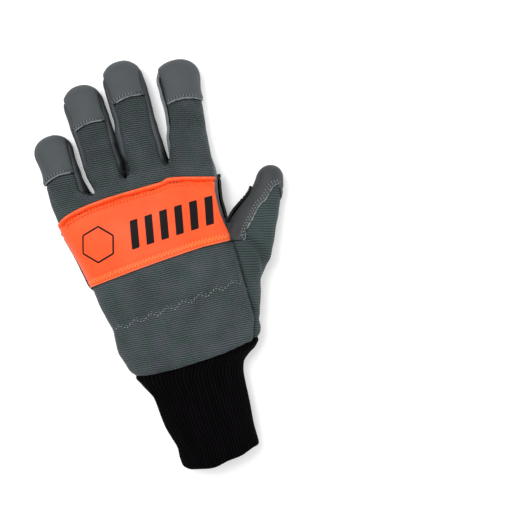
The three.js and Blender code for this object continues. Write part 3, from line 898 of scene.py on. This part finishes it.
def woven(name, colour, rib=0.00022, broken=0.3, contrast=0.7, fade=0.0):
    """Elastic woven cloth: fine ribs, broken by the share broken into small floats of yarn. Its two
    yarns, a green and a violet grey, show in patches. Its colour follows the relief, with painted shade in
    the grooves and painted light on the ribs. fade darkens the cloth towards the fingers."""
    look = Look(name, colour, 0.85, sheen=0.1, specular=0.2)
    weave = look.weave()
    along = look.axis(weave, "Y") + look.noise(weave, 0.12, 2) * 1.6
    across = look.axis(weave, "X") + look.noise(weave, 0.5, 3) * 2.2
    phase = across * 0.8 + along.maths("FLOOR") * 0.36
    floats = ((phase * (2 * math.pi)).maths("SINE") + 1.0) * 0.5
    fuzz = look.noise(weave, 3.5, 4)
    height = along.humps() * (1.1 - broken) + floats * broken + fuzz * 0.5
    # The colour follows the relief: painted shade in the grooves, painted light on the ribs.
    relief_shade_and_tone = height * 0.58 + (look.noise(weave, 0.08, 3) - 0.5) * 0.4
    if fade:
        relief_shade_and_tone = relief_shade_and_tone + look.mapped(look.axis(look.object_place(), "Y"), 0.02, 0.06, 0.0, -fade)
    dark, light = shade(colour, 1 - contrast), shade(colour, 1 + 1.1 * contrast)
    green, violet = (
        look.tinted(relief_shade_and_tone, tinge(dark, *hue), tinge(light, *hue))
        for hue in ((0.92, 1.06, 0.96), (1.08, 0.97, 1.08))
    )
    patches = look.mapped(look.noise(weave, 0.16, 3), 0.42, 0.72)
    look.drive("Base Color", look.mixed(patches, green, violet))
    look.bump(height, rib)
    return look.material


def coated(name, colour):
    """Coated high-visibility cloth: smooth, with a hint of the weave under the coat."""
    look = Look(name, colour, 0.5, specular=0.25)
    where = look.object_place()
    faded = (1, colour[1] * 1.3, colour[2] * 1.5)
    look.drive("Base Color", look.tinted(look.noise(where, 45, 3), shade(colour, 0.92), faded))
    look.bump(look.noise(where, 900, 2) + look.noise(where, 160, 3) * 2.0, 0.00012)
    return look.material


def yarn(name, colour, roughness=0.9, sheen=0.15, specular=0.25, scale=1800):
    """Thread, print or a cut edge, with a fine twist."""
    look = Look(name, colour, roughness, sheen, specular)
    fuzz = look.noise(look.object_place(), scale, 4)
    look.drive("Base Color", look.tinted(fuzz, shade(colour, 0.7), shade(colour, 1.5)))
    look.bump(fuzz, 0.00015)
    return look.material


def knitted(name, colour):
    """Rib knit: stitches in small Vs along each rib, with painted shade in the valleys between the ribs and
    painted light along their crests.
    """
    look = Look(name, colour, 0.9, specular=0.06)
    weave = look.weave()
    across = look.axis(weave, "X")
    slant = (across.maths("FRACT") - 0.5).maths("ABSOLUTE")
    loops = (look.axis(weave, "Y") + slant * 1.6).humps()
    stretched = look.node("ShaderNodeMapping", "Vector", {"Vector": weave, "Scale": (0.6, 0.05, 1)})
    # Painted shade in the valleys between the ribs and painted light along their crests, broken into streaks.
    relief_shade_and_tone = across.humps() * look.noise(stretched, 1, 3) * 1.3
    look.drive("Base Color", look.tinted(relief_shade_and_tone, shade(colour, 0.25), shade(colour, 3.2)))
    look.bump(loops + look.noise(weave, 4, 4), 0.0003)
    return look.material


BACK_COLOUR = (0.0445, 0.0535, 0.0585)
GREY_LEATHER = (0.052, 0.0605, 0.0655)
THUMB_LEATHER = (0.034, 0.039, 0.042)
PALM_LEATHER = (0.14, 0.156, 0.172)
ORANGE = (0.96, 0.088, 0.016)
woven_back = woven("woven_back", BACK_COLOUR, fade=0.12)
SIDE_COLOUR = tinge(BACK_COLOUR, 0.8, 0.88, 0.85)
woven_side = woven("woven_side", SIDE_COLOUR, rib=0.0002, broken=0.15, contrast=0.5)
grey_leather = leather("grey_leather", GREY_LEATHER, roughness=0.68, contrast=0.06)
thumb_grey = leather("thumb_grey", THUMB_LEATHER, roughness=0.65)
STRIP_COLOUR = shade(GREY_LEATHER, 1.08)
# Painted shade: the strips darken below 18 mm, down the fingers' flanks.
strip_leather = leather("strip_leather", STRIP_COLOUR, roughness=0.66, painted_shade_heights=(0.018, 0.01, 0.3))
# Painted shade: the palm leather darkens above 6 mm, where it rises up the hand's sides.
palm_leather = leather("palm_leather", PALM_LEATHER, 0.46, contrast=0.08, painted_shade_heights=(0.006, 0.012, 0.55))
# Painted shade: the patch turns almost black above 4 mm, where it wraps up the hand's sides.
patch_leather = leather(
    "patch_leather", (0.034, 0.03, 0.031), 0.45, grain=0.00009, specular=0.22, painted_shade_heights=(0.004, 0.008, 0.12))
orange_cloth = coated("orange_cloth", ORANGE)
black_knit = knitted("black_knit", (0.001, 0.0006, 0.001))
raw_leather = yarn("raw_leather", (0.16, 0.175, 0.18), 0.85, scale=380)
light_thread = yarn("light_thread", (0.27, 0.3, 0.31), 0.7)
# Dark thread, which also paints the shade of the stitch holes at the caps.
dark_thread_and_hole_shade = yarn("dark_thread_and_hole_shade", (0.02, 0.024, 0.026), 0.7)
black_thread = yarn("black_thread", (0.006, 0.006, 0.007), 0.6)
gold_thread = yarn("gold_thread", (1.0, 0.28, 0.07), 0.6)
orange_thread_and_hole_shade = yarn("orange_thread_and_hole_shade", (0.9, 0.12, 0.012), 0.6)
red_thread_and_painted_shade = yarn("red_thread_and_painted_shade", (0.72, 0.028, 0.003), 0.7, sheen=0.0, specular=0.1)
fold_highlight_cloth = yarn("fold_highlight_cloth", (1.0, 0.17, 0.06), 0.5)
black_print = yarn("black_print", (0.005, 0.003, 0.004), 0.6, sheen=0, specular=0.15)


# Threads and cut edges

class Surface:
    """Finds the place on a sheet above or below a plan point."""

    def __init__(self, points, tris):
        self.tree = BVHTree.FromPolygons(points.tolist(), tris.tolist())

    def at(self, plan, side=1):
        """(points, outward directions) straight down from above, or up from below where side is -1."""
        found, out = [], []
        for x, y in plan:
            hit, normal, _, _ = self.tree.ray_cast(Vector((x, y, 90 * side)), Vector((0, 0, -side)))
            if hit is None:
                hit, normal, _, _ = self.tree.find_nearest(Vector((x, y, 12)))
            if normal.z * side < 0:
                normal = -normal
            found.append(hit)
            out.append(normal)
        return np.array(found), np.array(out)


def frames(path, out):
    """Along, aside and out directions at each point of a path."""
    along = np.gradient(path, axis=0)
    along /= np.maximum(np.linalg.norm(along, axis=1, keepdims=True), 1e-9)
    aside = np.cross(along, out)
    aside /= np.maximum(np.linalg.norm(aside, axis=1, keepdims=True), 1e-9)
    return along, aside, np.cross(aside, along)


def tube(path, out, radii, sides=8, flat=1.0):
    """(points, triangles) of a closed tube; flat squeezes it towards the surface."""
    _, aside, rise = frames(path, out)
    angle = (2 * math.pi * np.arange(sides) / sides)[None, :, None]
    ring = np.cos(angle) * aside[:, None] + flat * np.sin(angle) * rise[:, None]
    points = path[:, None] + np.broadcast_to(radii, len(path))[:, None, None] * ring
    return with_hubs(points), loft_faces(len(path), sides)


def joined(parts):
    """Several pairs of points and triangles as one."""
    points, tris, first = [], [], 0
    for vertices, faces in parts:
        points.append(vertices)
        tris.append(faces + first)
        first += len(vertices)
    return np.vstack(points), np.vstack(tris)


def stitch(start, end, out, radius):
    """One stitch: a short arched thread whose ends dip into the cloth."""
    t = np.linspace(0, 1, 6)[:, None]
    arch = np.sin(math.pi * t[:, 0])
    path = start * (1 - t) + end * t + (radius * (1.5 * arch - 0.75))[:, None] * out
    return tube(path, np.tile(out, (6, 1)), radius * (0.55 + 0.45 * arch), sides=6)


def stitches(start, end, out, radius, longest):
    """A stitch from each start to its end, where the surface isn't too steep for one."""
    return [stitch(a, b, o, radius) for a, b, o in zip(start, end, out) if np.linalg.norm(b - a) < longest]


def seam_stitches(surface, curve, side=1, pitch=2.3, length=1.6, lift=0.0, radius=THREAD, slant=0.0):
    """A row of stitches along a plan curve. slant turns each one across the row by that many mm."""
    centres = even(curve, pitch)
    across = beside(centres, 1.0) - centres
    run = np.stack([across[:, 1], -across[:, 0]], 1)
    half = run * length / 2 + across * slant / 2
    start, out = surface.at(centres - half, side)
    end, _ = surface.at(centres + half, side)
    return stitches(start + out * lift, end + out * lift, out, radius, 1.5 * math.hypot(length, slant))


def zigzag(surface, curve, width, pitch, radius):
    """Threads that run to and fro across a plan curve."""
    centres = even(curve, pitch)
    sway = width / 2 * np.where(np.arange(len(centres)) % 2, 1, -1)
    points, out = surface.at(centres + (beside(centres, 1.0) - centres) * sway[:, None])
    points = points + out * 0.05
    return stitches(points[:-1], points[1:], out, radius, 1.5 * math.hypot(width, pitch))


def edge_bead(surface, curve, radius, lift, side=1, flat=0.8, rough=0.3):
    """A bead along a plan curve: a cut edge of leather, the fold of a hem, or a band of painted shade in a
    crease.
    """
    path, out = surface.at(even(curve, 0.7), side)
    wander = 0.16 * ripple(path, 3.5, 11)
    path = path + out * (lift + wander)[:, None]
    return tube(path, out, radius * (1 + rough * ripple(path, 3, 7)), flat=flat)


def frayed(surface, curve, seed):
    """Loose fibres that stand off a cut edge at all angles."""
    rng = np.random.default_rng(seed)
    centres = even(curve, 0.55)
    angle = rng.uniform(0, math.pi, len(centres))
    reach = rng.uniform(0.3, 0.75, len(centres))
    half = np.stack([np.cos(angle), np.sin(angle)], 1) * reach[:, None]
    start, out = surface.at(centres - half)
    end, _ = surface.at(centres + half)
    return stitches(start + out * 0.1, end + out * 0.1, out, 0.13, 2.0)


# Shares of the half width where a cap's seam meets the finger's two side seams
CAP_SIDES = {"little": (-1.0, 0.62), "ring": (-0.8, 0.66), "middle": (-0.8, 0.66), "index": (-0.8, 1.0)}


def cap_back(name):
    """The part of a cap's seam that lies on the finger's back, between its side seams."""
    finger = FINGERS[name]
    low, high = CAP_SIDES[name]
    curve = cap_seams[name]
    from_root = curve - (finger["across"] * PALM_WIDTH, ROOT_Y)
    aside, _ = turned(*from_root.T, -finger["tilt"])
    aside = aside / (finger["width"] / 2)
    return curve[(aside > low) & (aside < high)]


# The hand's pieces

form = skin()
pieces, hand = hand_pieces(form)

BACK_WEAVE = dict(pitch=BACK_RIB, tilt=7, bend=0.004)
SIDE_WEAVE = dict(pitch=SIDE_RIB, tilt=18)
# Columns: material, slot, weave
FINISH = {
    "back_panel": (woven_back, "woven_back", BACK_WEAVE),
    "thumb_side_panel": (woven_side, "woven_back", SIDE_WEAVE),
    "thumb_leather": (thumb_grey, "leather_grey", None),
    "palm_panel": (palm_leather, "palm_leather", None),
    "ring_front": (palm_leather, "palm_leather", None),
    "middle_front": (palm_leather, "palm_leather", None),
}
CAP_RISE = 0.75
CAP_DIP = 1.3  # how deep the cloth sinks at a cap's edge
PANEL_DIP = 0.7  # and at the edge of the orange panel


def relieve(name, relief):
    """Moves one of the hand's pieces outwards by relief(base)."""
    pieces[name] = pieces[name].moved(relief(pieces[name].base))


def cap_relief(base, seam):
    distance = distance_to(base, seam)
    return CAP_RISE * (1 - ease(distance, 0, 9)) + 0.15 * bell(distance - 3, 1.5)


for name, seam in cap_seams.items():
    relieve(f"{name}_cap", lambda b: cap_relief(b, seam))
    relieve("back_panel", lambda b: -CAP_DIP * bell(distance_to(b, seam), 1.0))
relieve("back_panel", lambda b: -PANEL_DIP * bell(distance_to(b, panel_outline, closed=True), 1.0))
relieve("thumb_leather", lambda b: CAP_RISE * (1 - ease(distance_to(b, thumb_seam), 0, 8)))

for name, sheet in pieces.items():
    plain = strip_leather if name.startswith("fourchette") else grey_leather
    finish, slot, weave = FINISH.get(name, (plain, "leather_grey", None))
    make_sheet(name, sheet, SHELL, finish, slot, weave)


# Sheets laid over the hand

def overlay(source, outline, keep, height, relief):
    """A region of a surface raised by height, with its own relief. keep(base) limits it."""
    region = np.minimum(within(source.base, outline), keep(source.base))
    sheet = source.clipped(region).largest()
    return sheet.moved(height + relief(sheet.base))


PANEL_HEIGHT = GAP + PANEL_THICKNESS
PANEL_BOTTOM_Z = 16.0


def panel_relief(base):
    """Rolled hems at the top and bottom, with short puckers behind their stitching."""
    x, y, z = base.T
    top = distance_to(base, panel_top)
    bottom = distance_to(base, panel_bottom)
    pucker = np.sin(x * 1.3 + 2 * np.sin(x * 0.21)) * (0.6 + 0.4 * ripple(base, 20, 5))
    crease = top - 2.6 - 0.4 * ripple(base, 12, 4)
    relief = (0.8 * bell(top - 0.9, 1.0) - 1.5 * bell(crease, 0.6)) * ease(z, 15.5, 22)
    relief += 0.3 * pucker * bell(top - 4.0, 2.2) + 0.12 * pucker * bell(bottom - 4, 3)
    relief -= 0.3 * bell(bottom - 1.4, 0.7) + 0.25 * bell(bottom - 5.4, 0.7)
    relief += 0.25 * ripple(base, 26, 6) + 0.5 * bell(y - 3, 14)
    return relief


hi_vis = overlay(hand, panel_outline, lambda b: b[:, 2] - PANEL_BOTTOM_Z, PANEL_HEIGHT, panel_relief)
make_sheet("hi_vis_panel", hi_vis, PANEL_THICKNESS, orange_cloth, "hi_vis")


def patch_relief(base):
    """Padded leather that sinks at its stitched lines. It never swells past the rest plane."""
    sink = 0.12 * (1 + ripple(base, 14, 8))
    for edge in (patch_top, patch_bottom):
        sink += 0.5 * bell(distance_to(base, edge) - 3, 1.0)
    for arc in palm_arcs:
        sink += 0.6 * bell(distance_to(base, arc) - 1.1, 0.7)
    gathers = distance_to(base, thumb_gathers)
    pucker = np.sin(1.9 * (base[:, 0] + base[:, 1]))
    sink += 0.7 * bell(gathers, 0.9) + 0.22 * (1 + pucker) * bell(gathers, 3.5)
    # Its two ends stand proud of the cloth where they wrap up the sides of the hand.
    return 0.6 * ease(base[:, 2], 7, 12) - sink


WRAP_INDEX_Z = 15.0
WRAP_LITTLE_Z = 14.5
hand_plain = form.clipped(y_past_wrist(form.base))


def patch_wrap(base):
    """How far below the patch's upper edge a point is, on each side of the hand."""
    beside_panel = ease(base[:, 1], -30, -20)
    little_side = WRAP_LITTLE_Z * (0.6 + 0.4 * beside_panel)
    return np.where(base[:, 0] > 0, WRAP_INDEX_Z, little_side) - base[:, 2]


patch = overlay(hand_plain, patch_outline, patch_wrap, GAP + PATCH_THICKNESS, patch_relief)
make_sheet("palm_patch", patch, PATCH_THICKNESS, patch_leather, "patch_leather")

GUARD_WRAP_Z = 10.0


def guard_relief(base):
    edge = distance_to(base, guard_outline)
    return -0.4 * bell(edge - 3, 0.9) - 0.15 * (1 + ripple(base, 18, 9))


guard = overlay(form, guard_outline, lambda b: GUARD_WRAP_Z - b[:, 2], GAP + PATCH_THICKNESS, guard_relief)
make_sheet("wrist_guard", guard, PATCH_THICKNESS, palm_leather, "palm_leather")


# The knit cuff

def cuff_ring(y, inset, ribs_per_side):
    """A ring of the cuff with its ribs, at even steps round it."""
    dense = body_ring(y, 360)
    dense = np.vstack([dense, dense[:1]])
    run = np.concatenate([[0], np.cumsum(np.linalg.norm(np.diff(dense, axis=0), axis=1))])
    start = run[270]
    count = KNIT_RIBS * ribs_per_side
    share = np.arange(count) / count
    at = (start + share * run[-1]) % run[-1]
    ring = np.stack([np.interp(at, run, column) for column in dense.T], 1)
    tangent = np.roll(ring, -1, 0) - np.roll(ring, 1, 0)
    tangent /= np.linalg.norm(tangent, axis=1, keepdims=True)
    out = np.stack([tangent[:, 2], np.zeros(count), -tangent[:, 0]], 1)
    rib = np.abs(np.sin(math.pi * KNIT_RIBS * share)) ** 0.7
    return ring + out * (KNIT_RIB_DEPTH * (rib - 1) - inset)[:, None], share, out


def cuff_mesh():
    """The ribbed tube, folded at the mouth, as one closed piece."""
    per_rib = 6
    wall = 2.2
    outside = np.arange(WRIST_Y + 9, MOUTH_Y + 1.5, -1.0)
    fold = np.linspace(0, math.pi, 7)[1:-1]
    inside = np.arange(MOUTH_Y + 1.5, WRIST_Y + 4, 2.5)
    rows = [(y, 0.0) for y in outside]
    rows += [(MOUTH_Y + 1.5 - 1.5 * math.sin(a), wall / 2 * (1 - math.cos(a))) for a in fold]
    rows += [(y, wall) for y in inside]
    rings, knit = [], []
    for y, inset in rows:
        ring, share, out = cuff_ring(y, inset + 0.1, per_rib)
        turn = 2 * math.pi * share
        # The cuff is tucked under the hand's hem and gathers below it.
        tucked = ease(y_past_wrist(ring), -5, 0)
        gather = 0.5 * np.sin(9 * turn + 1) + 0.35 * np.sin(17 * turn + 2)
        gather *= ease(y, WRIST_Y - 30, WRIST_Y - 8) * ease(out[:, 2], -0.5, 0.4) * (1 - tucked)
        ring = ring + out * (gather - 2.6 * tucked)[:, None]
        across = np.clip(ring[:, 0] / (CUFF_WIDTH / 2), -1.2, 1.2)
        near_mouth = ease(-y, -(MOUTH_Y + 40), -MOUTH_Y)
        wave = 0.7 * np.sin(3 * turn + 0.6) + 0.35 * np.sin(7 * turn)
        ring[:, 1] += near_mouth * (5.0 * across**4 + 2.0 * across**2 + wave)
        ring[:, 2] = np.maximum(ring[:, 2], LIFT - 1.2)
        rings.append(ring)
        knit.append(np.stack([KNIT_RIBS * share, np.full(len(share), y / KNIT_LOOP), 0 * share], 1))
    sides = KNIT_RIBS * per_rib
    count = len(rings)
    r, i = np.meshgrid(np.arange(count), np.arange(sides), indexing="ij")
    a = (r * sides + i).ravel()
    b = (r * sides + (i + 1) % sides).ravel()
    c = ((r + 1) % count * sides + (i + 1) % sides).ravel()
    d = ((r + 1) % count * sides + i).ravel()
    tris = np.concatenate([np.stack([a, b, c], 1), np.stack([a, c, d], 1)])
    return np.vstack(rings), tris, np.vstack(knit)


cuff_points, cuff_tris, cuff_knit = cuff_mesh()
make("knit_cuff_skin", cuff_points, cuff_tris, black_knit, "rib_knit", ["knit_cuff"], cuff_knit)


# Stitching, cut edges and print, with painted shade in stitch holes and a crease, and painted highlights on
# folded edges

def whole_surface():
    parts = [(sheet.point, sheet.tris) for sheet in pieces.values()]
    parts += [(hi_vis.point, hi_vis.tris), (patch.point, patch.tris), (guard.point, guard.tris)]
    return Surface(*joined(parts))


def elastic_line():
    """The zigzag of long stitches over the elastic: points every quarter of its period."""
    period, swing = 11.6, 1.6
    points = []
    for i in range(17):
        x = -44 + i * period / 2
        sway = swing if i % 2 else -swing
        points.append((x + 0.9 * (i % 2), ELASTIC_Y + 0.058 * x + sway))
    return np.array(points)


surface = whole_surface()
light, dark, black, gold, orange, red, raw, folded = [], [], [], [], [], [], [], []

for name in cap_seams:
    visible = cap_back(name)
    raw.append(edge_bead(surface, beside(visible, 0.35), 0.5, -0.15))
    raw += frayed(surface, beside(visible, 0.4), 21)
    row = beside(visible, 2.2)
    # Short dark stitches stand for the stitch holes: painted shade.
    dark += seam_stitches(surface, row, pitch=2.1, length=0.5, slant=1.6)
    light += seam_stitches(surface, even(row, 0.35)[3:], pitch=2.1, length=0.4, slant=1.5, radius=0.19)

on_back = each(on_thumb, (-0.5, 0.45), (-1.0, 0.7), (0, 0.95), (1.0, 0.95), (0.98, 0.5))
thumb_back = thumb_seam[within(thumb_seam, on_back) > 0]
raw.append(edge_bead(surface, beside(thumb_back, 0.3), 0.5, -0.1))
raw += frayed(surface, beside(thumb_back, 0.3), 22)
for distance in (1.8, 3.3):
    row = beside(thumb_back, distance)
    light += seam_stitches(surface, row, pitch=2.2, length=0.6, slant=0.9, radius=0.22)

inner_top = even(panel_top, 1.0)[3:]
inner_bottom = even(panel_bottom, 1.0)
red += seam_stitches(surface, beside(inner_top, -2.6), pitch=1.7, length=1.6, radius=0.34)
# A red bead along the crease below the top hem paints the crease's deep red shade.
red.append(edge_bead(surface, beside(inner_top, -2.5), 0.4, 0.0, flat=0.5, rough=0.5))
for row, width, legs, bights, hole_shades in (
    (beside(inner_top, -4.5), 2.0, orange, orange, red),
    (beside(inner_bottom, -3.4), 2.4, gold, gold, orange),
):
    legs += zigzag(surface, row, width, 1.15, 0.24)
    for i, half in enumerate((width / 2, -width / 2)):
        line = even(beside(row, half), 0.575)[2 * i + 1:]
        bights += seam_stitches(surface, line, pitch=2.3, length=0.8, lift=0.12, radius=0.36)
        # Short darker stitches stand for the stitch holes: painted shade.
        line = even(line, 0.575)[2:]
        hole_shades += seam_stitches(surface, line, pitch=2.3, length=0.7, lift=0.05, radius=0.32)
# Beads along the folded edges of the hems, in a paler orange that paints their highlight.
folded.append(edge_bead(surface, beside(inner_top[2:], -0.4), 0.4, -0.1, rough=0.15))
folded.append(edge_bead(surface, beside(inner_bottom, -0.4), 0.36, -0.1, rough=0.15))
light += seam_stitches(surface, elastic_line(), pitch=2.3, length=1.1, radius=0.25)
light += seam_stitches(surface, elastic_line() + (1.0, 1.3), pitch=3.1, length=0.7, radius=0.2)

rows = [beside(edge, -distance) for distance in (1.6, 3.4) for edge in (patch_top, patch_bottom)]
for row in rows:
    black += seam_stitches(surface, row, side=-1, pitch=2.6, length=2.0)
for arc in palm_arcs:
    for distance in (0, 2.2):
        black += seam_stitches(surface, beside(arc, distance), side=-1, pitch=2.6, length=2.1)
raw.append(edge_bead(surface, beside(patch_bottom[12:], -0.3), 0.5, -0.2, side=-1))
raw.append(edge_bead(surface, beside(guard_outline, 0.3), 0.6, -0.3, side=-1))
black += seam_stitches(surface, beside(guard_outline, 3.0), side=-1, pitch=2.3, length=1.4)
dark += seam_stitches(surface, beside(front_seam, 1.5), side=-1, pitch=2.4, length=1.5)

for name, parts, mat, slot in (
    ("stitches_light", light, light_thread, "woven_back"),
    ("stitches_dark_and_hole_shade", dark, dark_thread_and_hole_shade, "leather_grey"),
    ("stitches_black", black, black_thread, "patch_leather"),
    ("stitches_gold", gold, gold_thread, "hi_vis"),
    ("stitches_orange_and_hole_shade", orange, orange_thread_and_hole_shade, "hi_vis"),
    ("folded_edges_highlight", folded, fold_highlight_cloth, "hi_vis"),
    ("stitches_red_and_painted_shade", red, red_thread_and_painted_shade, "hi_vis"),
    ("raw_edges", raw, raw_leather, "palm_leather"),
):
    make(name, *joined(parts), mat, slot)


BARS = 6
BAR_FIRST = (-12.0, -9.0)  # lower left corner of the first bar
BAR_PITCH = 10.2
BAR_WIDTH = 5.2
BAR_HEIGHT = 18.5
BAR_LEAN = 4.2
HEXAGON_CENTRE = (-33.0, 1.5)
HEXAGON_RADIUS = 12
HEXAGON_TURN = 12  # degrees


def printed_bars():
    """A plain row of slanted bars and a hexagon outline on the panel, in black."""
    parts = []
    for i in range(BARS):
        x, y = BAR_FIRST[0] + BAR_PITCH * i, BAR_FIRST[1]
        top = y + BAR_HEIGHT
        bar = [(x, y), (x + BAR_WIDTH, y), (x + BAR_LEAN + BAR_WIDTH, top), (x + BAR_LEAN, top)]
        ink = hi_vis.clipped(within(hi_vis.base, bar))
        parts.append(ink.moved(0.07).thick(0.2))
    angle = np.radians(np.arange(0, 361, 60) + HEXAGON_TURN)
    corners = HEXAGON_CENTRE + HEXAGON_RADIUS * np.stack([np.cos(angle), np.sin(angle)], 1)
    path, out = Surface(hi_vis.point, hi_vis.tris).at(even(corners, 0.75))
    parts.append(tube(path, out, 0.6, flat=0.12))
    return joined(parts)


make("panel_print", *printed_bars(), black_print, "hi_vis")


# Stage: a pale floor, soft light and the photograph's view from straight above

FLOOR_GLOW = 0.25  # keeps the gaps between the fingers pale


def studio():
    scene = bpy.context.scene
    bpy.ops.mesh.primitive_plane_add(size=6, location=(0, 0, -0.0001))
    floor = bpy.context.object
    floor.name = "floor"
    paint = Look("floor_paint", (0.95, 0.95, 0.95), 0.9, specular=0.1)
    paint.shader.inputs["Emission Color"].default_value = (1, 1, 1, 1)
    paint.shader.inputs["Emission Strength"].default_value = FLOOR_GLOW
    floor.data.materials.append(paint.material)

    world = bpy.data.worlds.new("studio")
    world.use_nodes = True
    background = world.node_tree.nodes["Background"]
    background.inputs["Color"].default_value = (1, 1, 1, 1)
    background.inputs["Strength"].default_value = 0.65
    scene.world = world
    scene.view_settings.view_transform = "Standard"

    # Columns: name, place in metres, power in watts, side of the soft box in metres
    for name, spot, power, size in (
        ("key", (-0.3, 0.5, 1.5), 15, 0.8),
        ("rim", (1.2, -0.3, 0.45), 4, 0.6),
    ):
        light_data = bpy.data.lights.new(name, "AREA")
        light_data.energy = power
        light_data.size = size
        lamp = bpy.data.objects.new(name, light_data)
        lamp.location = spot
        lamp.rotation_euler = (-Vector(spot)).to_track_quat("-Z", "Y").to_euler()
        scene.collection.objects.link(lamp)


PHOTO_SIDE = 520
PHOTO_SCALE = 0.68  # millimetres of the glove per pixel of the photograph
PHOTO_ORIGIN = (148, 232)  # pixel of the frame's origin
PHOTO_TILT = 18.0  # the glove leans this many degrees to the left
MID_HEIGHT = 15.0  # height at which that scale holds


def camera():
    data = bpy.data.cameras.new("photo_view")
    data.lens = 100
    data.sensor_width = 36
    field = PHOTO_SIDE * PHOTO_SCALE
    height = field * data.lens / data.sensor_width + MID_HEIGHT
    from_origin = [PHOTO_SIDE / 2 - PHOTO_ORIGIN[0], PHOTO_ORIGIN[1] - PHOTO_SIDE / 2]
    tilt = math.radians(PHOTO_TILT)
    x = (from_origin[0] * math.cos(tilt) + from_origin[1] * math.sin(tilt)) * PHOTO_SCALE
    y = (-from_origin[0] * math.sin(tilt) + from_origin[1] * math.cos(tilt)) * PHOTO_SCALE
    cam = bpy.data.objects.new("photo_view", data)
    cam.location = (x * MM, y * MM, height * MM)
    cam.rotation_euler = (0, 0, -tilt)
    bpy.context.scene.collection.objects.link(cam)
    bpy.context.scene.camera = cam


studio()
camera()
